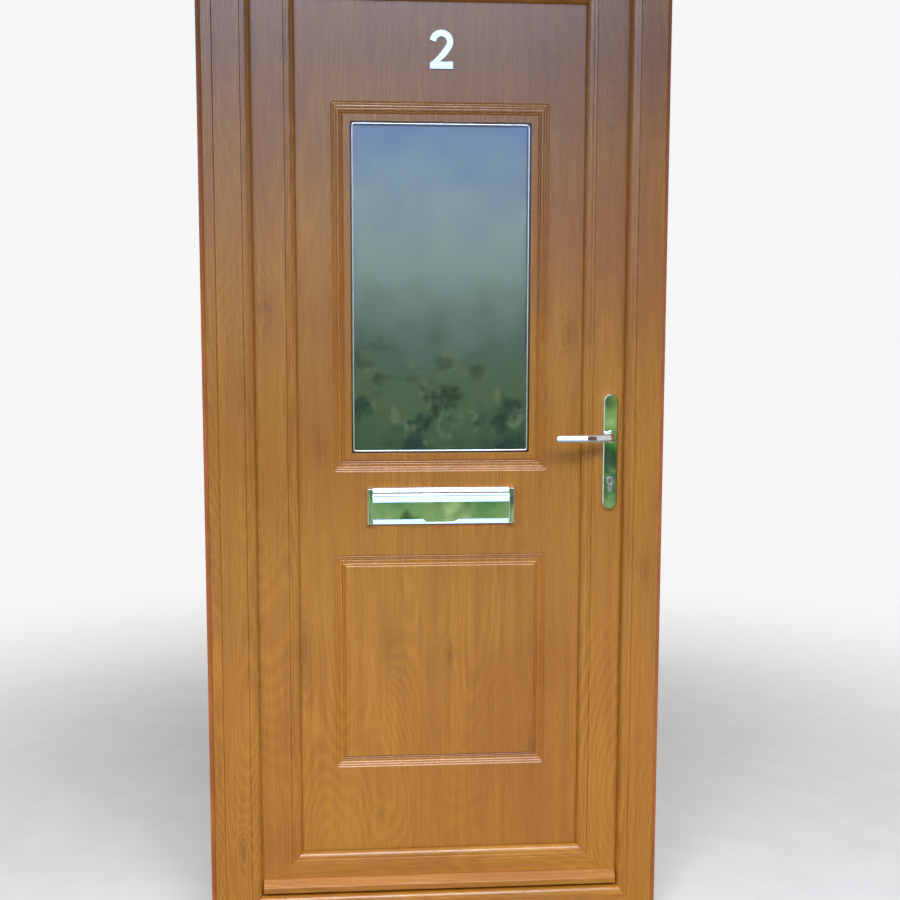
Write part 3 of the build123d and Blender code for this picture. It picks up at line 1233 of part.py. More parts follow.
def deadbolt():
    """The square bolt that the cylinder throws."""
    centre = CYLINDER_HEIGHT + DEADBOLT_RAISE
    height = (centre - DEADBOLT_HEIGHT / 2, centre + DEADBOLT_HEIGHT / 2)
    bolt = at_lock((-DEADBOLT_LENGTH, 0), DEADBOLT_THICKNESS / 2, height)
    return chamfer(bolt.faces().sort_by(Axis.X)[-1].edges(), DEADBOLT_EDGE)


def hollow_case(reach, z):
    """A thin steel case behind the faceplate, open towards it."""
    half = LOCK_CASE_THICKNESS / 2
    wall = LOCK_CASE_WALL
    shell = at_lock((-reach, -FACEPLATE_THICKNESS), half, z)
    return shell - at_lock((-reach + wall, -FACEPLATE_THICKNESS), half - wall, (z[0] + wall, z[1] - wall))


def lock_case():
    """The central case: holes for the follower and the cylinder, and guides over the deadbolt."""
    z = (CYLINDER_HEIGHT - LOCK_CASE_BELOW, SPINDLE_HEIGHT + LOCK_CASE_ABOVE)
    case = hollow_case(LOCK_CASE_REACH, z)
    half = LOCK_CASE_THICKNESS / 2
    bolt = CYLINDER_HEIGHT + DEADBOLT_RAISE
    latch_centre = SPINDLE_HEIGHT + LATCH_RAISE
    shelves = (
        (bolt - DEADBOLT_HEIGHT / 2 - BOLT_CLEARANCE - LOCK_CASE_WALL, DEADBOLT_LENGTH / 2),
        (bolt + DEADBOLT_HEIGHT / 2 + BOLT_CLEARANCE, DEADBOLT_LENGTH),
        (latch_centre - LATCH_HEIGHT / 2 - BOLT_CLEARANCE - LOCK_CASE_WALL, LATCH_HEAD_LENGTH),
        (latch_centre + LATCH_HEIGHT / 2 + BOLT_CLEARANCE, LATCH_HEAD_LENGTH),
    )
    for low, length in shelves:
        shelf_x = (-FACEPLATE_THICKNESS - length, -FACEPLATE_THICKNESS)
        case += at_lock(shelf_x, half, (low, low + LOCK_CASE_WALL))
    ends = (LOCK_CENTRE_DEPTH - half - OVERCUT, LOCK_CENTRE_DEPTH + half + OVERCUT)
    case -= through_leaf(Circle(FOLLOWER_BOSS_RADIUS + RUNNING_CLEARANCE), SPINDLE_X, SPINDLE_HEIGHT, *ends)
    return case - through_leaf(euro_section(BOLT_CLEARANCE), SPINDLE_X, CYLINDER_HEIGHT, *ends)


def hook_cases():
    """The two hook cases, each with the pin that its hook turns on."""
    cases = []
    half = LOCK_CASE_THICKNESS / 2
    for height in (HOOK_LOWER_HEIGHT, HOOK_UPPER_HEIGHT):
        case = hollow_case(HOOK_CASE_REACH, (height - HOOK_CASE_BELOW, height + HOOK_CASE_ABOVE))
        pin = Circle(HOOK_PIN_RADIUS)
        case += through_leaf(pin, HOOK_PIVOT_X, height, LOCK_CENTRE_DEPTH - half, LOCK_CENTRE_DEPTH + half)
        cases.append(case.solid())
    return Compound(children=cases)


def hook(height):
    """A swinging hook: an eye on its pin, an arm, and a beak that turns up when it is thrown."""
    half = HOOK_ARM_WIDTH / 2
    shape = Circle(half)
    shape += Pos(0, -HOOK_REACH / 2) * Rectangle(HOOK_ARM_WIDTH, HOOK_REACH)
    beak = Polyline(
        (0, -HOOK_REACH),
        (half + HOOK_BEAK, -HOOK_REACH),
        (half + HOOK_BEAK, -HOOK_REACH + HOOK_BEAK_TIP),
        (half, -HOOK_REACH + HOOK_BEAK_ROOT),
        (0, -HOOK_REACH + HOOK_BEAK_ROOT),
        close=True,
    )
    shape += make_face(beak)
    shape -= Circle(HOOK_PIN_RADIUS + RUNNING_CLEARANCE)
    ends = (LOCK_CENTRE_DEPTH - HOOK_THICKNESS / 2, LOCK_CENTRE_DEPTH + HOOK_THICKNESS / 2)
    return through_leaf(shape, HOOK_PIVOT_X, height, *ends)


def lock_faceplate():
    """The strip that ties the lock cases together in the leaf's edge, with the bolts' windows."""
    middle = FRAME_HEIGHT / 2
    z = (middle - FACEPLATE_LENGTH / 2, middle + FACEPLATE_LENGTH / 2)
    plate = at_lock((-FACEPLATE_THICKNESS, 0), FACEPLATE_WIDTH / 2, z)
    through = (SASH_EDGE - OVERCUT, SASH_EDGE + FACEPLATE_THICKNESS + OVERCUT)
    for window in bolt_windows(BOLT_CLEARANCE, BOLT_CLEARANCE, *through):
        plate -= window
    return plate


def cylinder_ends():
    """The depths of the cylinder's outer and inner faces."""
    out = BACKPLATE_THICKNESS + CYLINDER_PROJECTION
    return SASH_FACE - out, SASH_BACK + out


def cylinder_body():
    """The cylinder's body, bored for the plugs and slotted in the middle for the cam."""
    front, back = cylinder_ends()
    body = through_leaf(euro_section(), SPINDLE_X, CYLINDER_HEIGHT, front, back)
    bore = Circle(PLUG_RADIUS + RUNNING_CLEARANCE)
    body -= through_leaf(bore, SPINDLE_X, CYLINDER_HEIGHT, front - OVERCUT, back + OVERCUT)
    slot = (LOCK_CENTRE_DEPTH - CAM_SLOT_WIDTH / 2, LOCK_CENTRE_DEPTH + CAM_SLOT_WIDTH / 2)
    return body - through_leaf(Circle(CAM_REACH + BOLT_CLEARANCE), SPINDLE_X, CYLINDER_HEIGHT, *slot)


def cylinder_plug():
    """The keyed plugs and the cam between them, which turn as one."""
    front, back = cylinder_ends()
    plug = through_leaf(Circle(PLUG_RADIUS), SPINDLE_X, CYLINDER_HEIGHT, front, back)
    cam_ends = (LOCK_CENTRE_DEPTH - CAM_WIDTH / 2, LOCK_CENTRE_DEPTH + CAM_WIDTH / 2)
    plug += through_leaf(Circle(CYLINDER_RADIUS - BOLT_CLEARANCE), SPINDLE_X, CYLINDER_HEIGHT, *cam_ends)
    nose = Pos(0, -CAM_REACH / 2) * Rectangle(CAM_NOSE_WIDTH, CAM_REACH) & Circle(CAM_REACH)
    plug += through_leaf(nose, SPINDLE_X, CYLINDER_HEIGHT, *cam_ends)
    keyway = Rectangle(KEYWAY_WIDTH, KEYWAY_HEIGHT)
    plug -= through_leaf(keyway, SPINDLE_X, CYLINDER_HEIGHT, front - OVERCUT, front + KEYWAY_DEPTH)
    return plug - through_leaf(keyway, SPINDLE_X, CYLINDER_HEIGHT, back - KEYWAY_DEPTH, back + OVERCUT)


def screw(place, direction, slack=0.0):
    """A countersunk screw, its flat head at place, or with slack the hole for one."""
    plane = Plane(origin=place, z_dir=direction)
    head_radius = SCREW_HEAD_RADIUS + slack
    depth = SCREW_HEAD_RADIUS - SCREW_RADIUS
    head = Solid.make_cone(head_radius, SCREW_RADIUS + slack, depth, plane)
    return head + rod(place, SCREW_RADIUS + slack, SCREW_LENGTH + slack, direction)


def keep_spans():
    """The lower and upper ends of each keep."""
    bolt = CYLINDER_HEIGHT + DEADBOLT_RAISE - DEADBOLT_HEIGHT / 2
    latch_top = SPINDLE_HEIGHT + LATCH_RAISE + LATCH_HEIGHT / 2
    spans = [(bolt - KEEP_MARGIN, latch_top + KEEP_MARGIN)]
    for height in (HOOK_LOWER_HEIGHT, HOOK_UPPER_HEIGHT):
        low, high = hook_sweep(height, WINDOW_CLEARANCE)
        spans.append((low - KEEP_MARGIN, high + KEEP_MARGIN))
    return spans


def keep_screw_places():
    """Each keep has a screw near each end, on the keep's face."""
    x = FRAME_WIDTH / 2 - REBATE_WALL - KEEP_THICKNESS
    heights = [z for low, high in keep_spans() for z in (low + KEEP_MARGIN / 2, high - KEEP_MARGIN / 2)]
    return [(x, deep(LOCK_CENTRE_DEPTH), z) for z in heights]


def keeps():
    """The keep for the latch and deadbolt, and the two for the hooks, on the jamb's rebate."""
    right = FRAME_WIDTH / 2
    x = (right - REBATE_WALL - KEEP_THICKNESS, right - REBATE_WALL)
    depth = (deep(LOCK_CENTRE_DEPTH - KEEP_WIDTH / 2), deep(LOCK_CENTRE_DEPTH + KEEP_WIDTH / 2))
    through = (REBATE_WALL - OVERCUT, REBATE_WALL + KEEP_THICKNESS + OVERCUT)
    windows = bolt_windows(WINDOW_CLEARANCE, WINDOW_CLEARANCE, *through)
    plates = []
    for span in keep_spans():
        plate = block(x, depth, span)
        plate = fillet(plate.edges().filter_by(Axis.X), KEEP_CORNER)
        for window in windows:
            plate -= window
        for place in keep_screw_places():
            plate -= screw(place, (1, 0, 0), SCREW_SLACK)
        plates.append(plate.solid())
    return plates[0], Compound(children=plates[1:])


def bracket_screw_places():
    """Two screws hold each hinge bracket's foot to the frame's inner face."""
    x = HINGE_X - HINGE_WEB / 2 - HINGE_FOOT_LENGTH / 2 - HINGE_SCREW_OFFSET
    y = deep(FRAME_DEPTH) + HINGE_PLATE_THICKNESS
    quarter = HINGE_KNUCKLE_LENGTH / 4
    return [(x, y, h - step * quarter) for h in HINGE_HEIGHTS.values() for step in (1, 3)]


def flag_screw_places():
    """Two screws hold each hinge flag to the sash's inner face."""
    x = HINGE_X + HINGE_AXIS_OUT + HINGE_FLAG_SCREW_PLACE
    y = deep(SASH_BACK) + HINGE_PLATE_THICKNESS
    quarter = HINGE_KNUCKLE_LENGTH / 4
    return [(x, y, h + step * quarter) for h in HINGE_HEIGHTS.values() for step in (1, 3)]


def hinge_bracket(height):
    """The frame's half of a hinge: a foot, a web out to the lower knuckle, and the pin."""
    low, high = height - HINGE_KNUCKLE_LENGTH, height - HINGE_END_GAP / 2
    base = deep(FRAME_DEPTH)
    web_x = (HINGE_X - HINGE_KNUCKLE_RADIUS, HINGE_X + HINGE_WEB - HINGE_KNUCKLE_RADIUS)
    foot_x = (web_x[0] - HINGE_FOOT_LENGTH, web_x[1])
    bracket = block(foot_x, (base, base + HINGE_PLATE_THICKNESS), (low, high))
    bracket += block(web_x, (base, HINGE_Y), (low, high))
    bracket += rod((HINGE_X, HINGE_Y, low), HINGE_KNUCKLE_RADIUS, high - low, (0, 0, 1))
    for place in bracket_screw_places():
        bracket -= screw(place, (0, -1, 0), SCREW_SLACK)
    pin = rod((HINGE_X, HINGE_Y, high), HINGE_PIN_RADIUS, HINGE_PIN_LENGTH, (0, 0, 1))
    return bracket + pin


def hinge_flag(height):
    """The leaf's half of a hinge: the upper knuckle, bored for the pin, and its flag on the sash."""
    low, high = height + HINGE_END_GAP / 2, height + HINGE_KNUCKLE_LENGTH
    face = deep(SASH_BACK)
    flag_x = (HINGE_X, HINGE_X + HINGE_AXIS_OUT + HINGE_FLAG_LENGTH)
    flag = block(flag_x, (face, face + HINGE_PLATE_THICKNESS), (low, high))
    flag += rod((HINGE_X, HINGE_Y, low), HINGE_KNUCKLE_RADIUS, high - low, (0, 0, 1))
    bore = rod((HINGE_X, HINGE_Y, low), HINGE_PIN_RADIUS + RUNNING_CLEARANCE, HINGE_PIN_LENGTH, (0, 0, 1))
    flag -= bore
    for place in flag_screw_places():
        flag -= screw(place, (0, -1, 0), SCREW_SLACK)
    return flag


def screws(places, direction):
    """A group of countersunk screws."""
    return [screw(place, direction).solid() for place in places]


def build_parts():
    """Every piece by name."""
    parts = {}
    parts.update(frame_members())
    parts["frame_steels"] = frame_steels()
    parts["frame_extension"] = extension_strip()
    parts["frame_gasket"] = frame_gasket()
    parts["perimeter_sealant"] = perimeter_sealant()
    parts.update(sash_members())
    parts["sash_steels"] = sash_steels()
    parts["sash_gasket"] = sash_gasket()
    parts["glazing_beads"] = glazing_beads()
    parts["panel_gasket_outer"], parts["panel_gasket_inner"] = panel_gaskets()
    parts["panel_packers"] = panel_packers()
    parts.update(door_panel())
    parts["lite_bead_outer"] = lite_bead(PANEL_FACE, True)
    parts["lite_bead_inner"] = lite_bead(PANEL_BACK, False)
    parts["glass_panes"], parts["glass_spacer"] = glass_unit()
    parts["weather_bar"] = weather_bar()
    parts["numeral_two"] = numeral_two()
    for name, face, outside in (("outer", PANEL_FACE, True), ("inner", PANEL_BACK, False)):
        parts[f"letterplate_frame_{name}"] = letterplate_frame(face, outside)
        parts[f"letterplate_flap_{name}"] = letterplate_flap(face, outside)
        parts[f"backplate_{name}"] = backplate(outside)
        parts[f"lever_{name}"] = lever(outside)
    parts["letterplate_sleeve"] = letterplate_sleeve()
    parts["letterplate_bolts"] = letterplate_bolts()
    parts["backplate_screws"] = backplate_screws()
    parts["spindle"] = spindle()
    parts["lock_follower"] = lock_follower()
    parts["latch"] = latch()
    parts["deadbolt"] = deadbolt()
    parts["lock_case"] = lock_case()
    parts["hook_cases"] = hook_cases()
    parts["hook_upper"] = hook(HOOK_UPPER_HEIGHT)
    parts["hook_lower"] = hook(HOOK_LOWER_HEIGHT)
    parts["lock_faceplate"] = lock_faceplate()
    parts["cylinder_body"] = cylinder_body()
    parts["cylinder_plug"] = cylinder_plug()
    parts["keep_centre"], parts["keeps_hooks"] = keeps()
    for name, height in HINGE_HEIGHTS.items():
        parts[f"hinge_bracket_{name}"] = hinge_bracket(height)
        parts[f"hinge_flag_{name}"] = hinge_flag(height)
    frame_screws = screws(keep_screw_places(), (1, 0, 0)) + screws(bracket_screw_places(), (0, -1, 0))
    parts["frame_screws"] = Compound(children=frame_screws)
    parts["leaf_screws"] = Compound(children=screws(flag_screw_places(), (0, -1, 0)))
    return parts


def main():
    os.makedirs("parts", exist_ok=True)
    for name, shape in build_parts().items():
        export_step(shape, f"parts/{name}.step")


main()
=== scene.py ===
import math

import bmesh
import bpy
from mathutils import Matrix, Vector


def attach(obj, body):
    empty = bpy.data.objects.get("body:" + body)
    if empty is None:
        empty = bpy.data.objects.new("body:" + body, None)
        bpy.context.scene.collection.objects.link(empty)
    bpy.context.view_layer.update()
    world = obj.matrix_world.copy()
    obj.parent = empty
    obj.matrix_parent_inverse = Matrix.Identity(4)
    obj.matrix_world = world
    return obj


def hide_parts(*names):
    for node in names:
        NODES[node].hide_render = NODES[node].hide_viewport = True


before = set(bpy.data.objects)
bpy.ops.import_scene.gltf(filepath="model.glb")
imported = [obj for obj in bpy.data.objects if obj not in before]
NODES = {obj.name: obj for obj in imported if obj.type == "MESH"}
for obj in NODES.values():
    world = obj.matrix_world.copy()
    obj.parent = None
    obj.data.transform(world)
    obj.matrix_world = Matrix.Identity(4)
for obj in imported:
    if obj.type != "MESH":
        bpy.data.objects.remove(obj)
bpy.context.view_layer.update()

# %% [markdown]
# # A panelled front door in golden oak
# The object is a front door with its frame: a plastic leaf and frame wrapped in a printed foil
# that looks like golden oak, a moulded panel with a glazed opening, and chrome handles,
# letterplate and house number. The solids come in already built and to size. This script gives
# them their finishes and swaps the few pieces that need softer edges for finer ones.
#
# The first cell sets the millimetre and deselects everything, because an operator acts on all that
# is selected.

MM = 0.001
bpy.ops.object.select_all(action="DESELECT")

# %% [markdown]
# ## Camera
# The photograph was taken a little left of the middle, from about eye height, some two and a half
# metres away. The camera could be placed by eye, but straight edges in the picture give it
# exactly: the door's known sizes were matched to where they fall in the photograph, and that gave
# the place, the tilt and the lens.

# %% Camera
PICTURE = 900
FOCAL_PIXELS = 1300
SENSOR = 36.0
CAMERA_PLACE = Vector((-0.191, -2.661, 1.321))
CAMERA_DOWN, CAMERA_RIGHT, CAMERA_ROLL = math.radians(6.56), math.radians(4.49), math.radians(-0.12)

camera_data = bpy.data.cameras.new("camera")
camera_data.sensor_width = SENSOR
camera_data.lens = FOCAL_PIXELS / PICTURE * SENSOR
camera_data.clip_end = 60
camera = bpy.data.objects.new("camera", camera_data)
bpy.context.scene.collection.objects.link(camera)
camera.location = CAMERA_PLACE
camera.rotation_euler = (math.pi / 2 - CAMERA_DOWN, CAMERA_ROLL, -CAMERA_RIGHT)
bpy.context.scene.camera = camera
bpy.context.scene.view_settings.view_transform = "Standard"
print("lens", round(camera_data.lens, 1), "mm")

# %% [markdown]
# ## Node helper
# Every finish here is a pattern worked out from the place on the object, so it needs a lot of
# small sums. Adding the Math nodes by hand is slow to read. A small class wraps a socket and
# overloads the operators, so that a sum on sockets is written as a sum, and another class adds
# any other node in one call: its type, its settings and what goes into its sockets.

# %% A socket that can be used in sums
class Value:
    def __init__(self, finish, socket):
        self.finish, self.socket = finish, socket

    def maths(self, operation, *others):
        return self.finish.node("ShaderNodeMath", {"operation": operation},
                                dict(enumerate((self, *others))))

    def __add__(self, other):
        return self.maths("ADD", other)

    __radd__ = __add__

    def __mul__(self, other):
        return self.maths("MULTIPLY", other)

    __rmul__ = __mul__

    def __sub__(self, other):
        return self.maths("SUBTRACT", other)

    def __rsub__(self, other):
        return self.finish.node("ShaderNodeMath", {"operation": "SUBTRACT"}, {0: other, 1: self})

    def __truediv__(self, other):
        return self.maths("DIVIDE", other)

    def __pow__(self, other):
        return self.maths("POWER", other)

    def limited(self):
        """The value kept between 0 and 1."""
        return self.finish.node("ShaderNodeClamp", {}, {0: self})

    def eased(self, low, high):
        """0 below low, 1 above high, and a smooth rise between them."""
        settings = {"interpolation_type": "SMOOTHSTEP"}
        return self.finish.node("ShaderNodeMapRange", settings, {0: self, 1: low, 2: high})


print("sums on sockets ready")

# %% A finish: a material that is built node by node
class Finish:
    def __init__(self, name):
        self.material = bpy.data.materials.new(name)
        self.material.use_nodes = True
        self.tree = self.material.node_tree
        self.tree.nodes.clear()
        self.output = self.tree.nodes.new("ShaderNodeOutputMaterial")

    def node(self, kind, settings, values, output=0):
        """Adds a node and returns one of its outputs. A ramp's stops are given as a setting."""
        node = self.tree.nodes.new(kind)
        for key, setting in settings.items():
            if key == "stops":
                ramp = node.color_ramp.elements
                while len(ramp) < len(setting):
                    ramp.new(0.5)
                for element, (position, colour) in zip(ramp, setting):
                    element.position, element.color = position, (*colour, 1)
            else:
                setattr(node, key, setting)
        for key, value in values.items():
            if isinstance(value, Value):
                self.tree.links.new(value.socket, node.inputs[key])
            else:
                node.inputs[key].default_value = value
        return Value(self, node.outputs[output])

    def place(self):
        """The three Object coordinates, in metres."""
        point = self.node("ShaderNodeTexCoord", {}, {}, "Object")
        split = self.node("ShaderNodeSeparateXYZ", {}, {0: point})
        return [Value(self, split.socket.node.outputs[axis]) for axis in "XYZ"]

    def vector(self, x, y, z):
        return self.node("ShaderNodeCombineXYZ", {}, {0: x, 1: y, 2: z})

    def noise(self, vector, detail=2.0, roughness=0.5, scale=1.0, distortion=0.0):
        values = {"Vector": vector, "Scale": scale, "Detail": detail, "Roughness": roughness,
                  "Distortion": distortion}
        return self.node("ShaderNodeTexNoise", {}, values, "Fac")

    def mix(self, factor, one, other, kind="MIX"):
        """Two colours blended by a factor."""
        pair = [(*c, 1) if isinstance(c, tuple) else c for c in (one, other)]
        settings = {"data_type": "RGBA", "blend_type": kind}
        return self.node("ShaderNodeMix", settings, {0: factor, 6: pair[0], 7: pair[1]}, 2)

    def ramp(self, value, *stops):
        return self.node("ShaderNodeValToRGB", {"stops": stops}, {0: value}, "Color")

    def bump(self, height, depth, strength=1.0):
        """A surface that looks uneven by this depth in metres."""
        values = {"Height": height, "Distance": depth, "Strength": strength}
        return self.node("ShaderNodeBump", {}, values)

    def show(self, shader):
        """Joins a shader to the material's output."""
        self.tree.links.new(shader.socket, self.output.inputs["Surface"])
        return self.material

    def glow(self, colour, strength):
        """A shader that gives off light of one colour."""
        return self.node("ShaderNodeEmission", {}, {"Color": colour, "Strength": strength})

    def surface(self, **values):
        """A Principled shader with these values, joined to the material's output."""
        names = {key.replace("_", " "): (*v, 1) if isinstance(v, tuple) else v
                 for key, v in values.items()}
        return self.show(self.node("ShaderNodeBsdfPrincipled", {}, names))


print("finishes can be built")

# %% [markdown]
# ## World and floor
# The room is a plain one: a white world and a pale floor. A backdrop could hide the horizon, but
# it would have to be turned for each new view. Here floor and world are the same white for the
# camera, so no horizon shows from any side, while close to the door the floor is a real surface
# that takes its shadow. What lights the door from all round is kept low, so that the lamps give
# it its form.

# %% World and floor
PAPER = (0.92, 0.925, 0.93)
WORLD_LIGHT = 0.10
WORLD_MIRRORED = 0.80
FLOOR_RADIUS = 14.0
FLOOR_FADE = (1.2, 3.6)

world = bpy.data.worlds.new("studio")
bpy.context.scene.world = world
world.use_nodes = True
links, nodes = world.node_tree.links, world.node_tree.nodes
background = nodes["Background"]
background.inputs["Color"].default_value = (*PAPER, 1)
rays = nodes.new("ShaderNodeLightPath")
previous = None
for ray, low, high in (("Is Glossy Ray", WORLD_LIGHT, WORLD_MIRRORED),
                       ("Is Transmission Ray", None, WORLD_MIRRORED),
                       ("Is Camera Ray", None, 1.0)):
    choice = nodes.new("ShaderNodeMix")
    choice.inputs["B"].default_value = high
    if previous is None:
        choice.inputs["A"].default_value = low
    else:
        links.new(previous, choice.inputs["A"])
    links.new(rays.outputs[ray], choice.inputs["Factor"])
    previous = choice.outputs["Result"]
links.new(previous, background.inputs["Strength"])
print("the world lights at", WORLD_LIGHT, "and is mirrored at", WORLD_MIRRORED)


def floor_finish():
    f = Finish("studio_floor")
    x, y, z = f.place()
    far = ((x * x + y * y) ** 0.5).eased(*FLOOR_FADE)
    grain = f.noise(f.vector(x, y, z), scale=9.0, detail=3)
    seen = f.node("ShaderNodeLightPath", {}, {}, "Is Camera Ray")
    mirrored = 1.0 - f.node("ShaderNodeLightPath", {}, {}, "Is Diffuse Ray")
    pale = f.ramp(grain, (0.3, (0.80, 0.80, 0.80)), (0.7, (0.84, 0.84, 0.84)))
    tone = f.mix(seen, (0.34, 0.32, 0.29), pale)
    near = f.node("ShaderNodeBsdfPrincipled", {}, {"Base Color": tone, "Roughness": 0.8})
    strength = seen * (1.0 - WORLD_MIRRORED) + WORLD_MIRRORED
    white = f.glow((*PAPER, 1), strength)
    return f.show(f.node("ShaderNodeMixShader", {}, {0: far * mirrored, 1: near, 2: white}))


bpy.ops.mesh.primitive_circle_add(vertices=96, radius=FLOOR_RADIUS, fill_type="NGON",
                                  location=(0, 0, 0))
floor = bpy.context.object
floor.name = "studio_floor"
floor.data.materials.append(floor_finish())
bpy.ops.object.select_all(action="DESELECT")
print("floor radius", FLOOR_RADIUS, "m")

# %% [markdown]
# ## Lamps
# Daylight reaches a front door mostly from the open sky in front of it. One long panel lamp high
# in front does the same, and it is large, so the shadows are soft. Two weaker ones behind the
# door light its sides and its back. Mirrors don't show the big lamp: it would be one even patch,
# and a card of the next step stands in for it.

# %% Lamps
SKY_SIZE = (6.5, 3.6)
SKY_PLACE = (0.0, -4.75, 4.95)
SKY_BRIGHTNESS = 8.0
DOOR_MIDDLE = (0, 0, 1.0)
SIDE_SIZE = (3.0, 3.0)
SIDE_PLACES = ((-3.4, 3.2, 2.6), (3.4, 3.2, 2.6))
SIDE_BRIGHTNESS = 2.2


def soft_lamp(name, place, size, brightness, colour, mirrored=True):
    """A large panel lamp that faces the door. Its brightness is that of its own face, where 1 is
    white, and mirrored says whether polished surfaces show it."""
    data = bpy.data.lights.new(name, "AREA")
    data.shape = "RECTANGLE"
    data.size, data.size_y = size
    data.energy = brightness * math.pi * size[0] * size[1]
    data.color = colour
    lamp = bpy.data.objects.new(name, data)
    bpy.context.scene.collection.objects.link(lamp)
    lamp.location = place
    to_door = Vector(DOOR_MIDDLE) - Vector(place)
    lamp.rotation_euler = to_door.to_track_quat("-Z", "Y").to_euler()
    lamp.visible_camera = False
    lamp.visible_glossy = mirrored


soft_lamp("sky", SKY_PLACE, SKY_SIZE, SKY_BRIGHTNESS, (0.94, 0.96, 1.0), mirrored=False)
for number, place in enumerate(SIDE_PLACES):
    soft_lamp(f"side_{number}", place, SIDE_SIZE, SIDE_BRIGHTNESS, (1.0, 0.98, 0.95))
print("lamps:", 1 + len(SIDE_PLACES))

# %% [markdown]
# ## Cards for the mirrors, and a canopy
# Chrome, glass and the waxy foil are only as good as what they mirror, and in what order: dark
# garden low down, paler green at eye height, blue sky above it and white cloud at the top. A
# picture of a garden could be wrapped round the world, but it would have to come from a file.
# Three flat cards do it, and only mirror rays see them, so they light nothing: the garden, the
# sky above it, and a dull wall beside the door, which keeps the sheen off the right jamb.
#
# A flat canopy over the threshold keeps light from straight above off the top of the door, as a
# porch does, which gives the mouldings their dark upper edges. No camera or mirror ray sees it.

# %% What the cards show
SKY_MIRRORED = 14.0


def garden_finish():
    f = Finish("mirrored_card")
    x, y, z = f.place()
    point = f.vector(x, y, z)
    soft = f.noise(f.vector(x * 1.3, y, z * 1.5), detail=3, roughness=0.6)
    leaves = f.noise(point, scale=5.5, detail=4, roughness=0.6)
    sprigs = f.noise(f.vector(x * 12.0, y, z * 9.0), detail=3, roughness=0.6)
    height = z * 0.34 + (soft - 0.5) * 0.10 + (leaves - 0.5) * 0.22
    tone = f.ramp(height, (0.03, (0.300, 0.520, 0.180)), (0.085, (0.110, 0.300, 0.100)),
                  (0.130, (0.020, 0.130, 0.050)), (0.170, (0.130, 0.340, 0.070)),
                  (0.26, (0.360, 0.560, 0.170)), (0.36, (0.360, 0.520, 0.370)),
                  (0.50, (0.620, 0.840, 0.790)), (0.74, (0.275, 0.365, 0.660)),
                  (0.95, (0.280, 0.480, 1.000)))
    low = z.eased(1.3, 0.7)
    tone = f.mix(sprigs.eased(0.54, 0.64) * low * 0.8, tone, (0.60, 0.82, 0.34))
    tone = f.mix(leaves.eased(0.48, 0.38) * low * 0.8, tone, (0.010, 0.045, 0.022))
    bright = z.eased(0.8, 3.0) * 3.4 + 0.9
    return f.show(f.glow(tone, bright))


def wall_finish():
    f = Finish("side_card")
    x, y, z = f.place()
    broad = f.noise(f.vector(x, y, z), scale=2.5, detail=3)
    tone = f.ramp(broad, (0.35, (0.120, 0.080, 0.070)), (0.65, (0.200, 0.140, 0.120)))
    return f.show(f.glow(tone, 1.0))


def sky_finish():
    f = Finish("sky_card")
    x, y, z = f.place()
    haze = f.noise(f.vector(x, y, z), scale=0.6, detail=3)
    tone = f.ramp(z * 0.15 + (haze - 0.5) * 0.08, (0.50, (0.26, 0.54, 1.0)),
                  (0.62, (0.38, 0.62, 1.0)), (0.74, (0.84, 0.88, 0.94)))
    bright = z.eased(3.1, 3.7) * SKY_MIRRORED
    clear = f.node("ShaderNodeBsdfTransparent", {}, {})
    return f.show(f.node("ShaderNodeAddShader", {}, {0: f.glow(tone, bright), 1: clear}))


def canopy_finish():
    f = Finish("canopy")
    x, y, z = f.place()
    tone = f.ramp(f.noise(f.vector(x, y, z), scale=4.0), (0.3, (0.20, 0.15, 0.11)),
                  (0.7, (0.26, 0.20, 0.15)))
    return f.surface(Base_Color=tone, Roughness=0.9)


print("garden, wall, sky and canopy finishes ready")

# %% Stand the cards and the canopy
FACING_DOOR, FACING_SIDE, LEVEL = (math.pi / 2, 0, 0), (math.pi / 2, 0, math.pi / 2), (0, 0, 0)
FOR_MIRRORS = ("camera", "diffuse", "shadow", "volume_scatter")
FOR_SHADE = ("camera", "glossy", "transmission", "volume_scatter")
CARDS = (("mirrored_card", (0, -4.5, 1.55), (14, 3.1), FACING_DOOR, garden_finish, FOR_MIRRORS),
         ("side_card", (1.42, -2.9, 2.1), (3.0, 4.2), FACING_SIDE, wall_finish, FOR_MIRRORS),
         ("sky_card", (0, -4.7, 5.0), (6.5, 3.8), FACING_DOOR, sky_finish, FOR_MIRRORS),
         ("canopy", (0, -0.74, 2.22), (2.9, 1.28), LEVEL, canopy_finish, FOR_SHADE))


def stage_card(name, place, size, turn, finish, hidden_rays):
    """A flat card of the studio, hidden from the rays that are named."""
    bpy.ops.mesh.primitive_plane_add(size=1, location=place, rotation=turn)
    card = bpy.context.object
    card.name = name
    card.scale = (*size, 1)
    bpy.ops.object.transform_apply(location=True, rotation=True, scale=True)
    card.data.materials.append(finish())
    for ray in hidden_rays:
        setattr(card, "visible_" + ray, False)
    bpy.ops.object.select_all(action="DESELECT")


for card in CARDS:
    stage_card(*card)
print(len(CARDS), "cards stand")

# %% [markdown]
# ## Golden oak foil
# The real surface is a printed and lightly embossed foil, the same print on frame, leaf and
# panel. The print shows growth rings as long, stretched loops, finer streaks between them, a few
# soft knots, and redder and yellower patches. It could be drawn from a picture, but a picture
# would have to be unwrapped piece by piece, so the grain is worked out from the place instead.
#
# The rings are the contour lines of one smooth noise that is stretched along the grain. A knot is
# a bump added to that noise, so the rings close round it by themselves. The streaks and the pores
# are much finer noises, counted to the metre across the grain. Each member is a piece of foil of
# its own, so each gets its own part of the pattern, and rails turn the grain across.

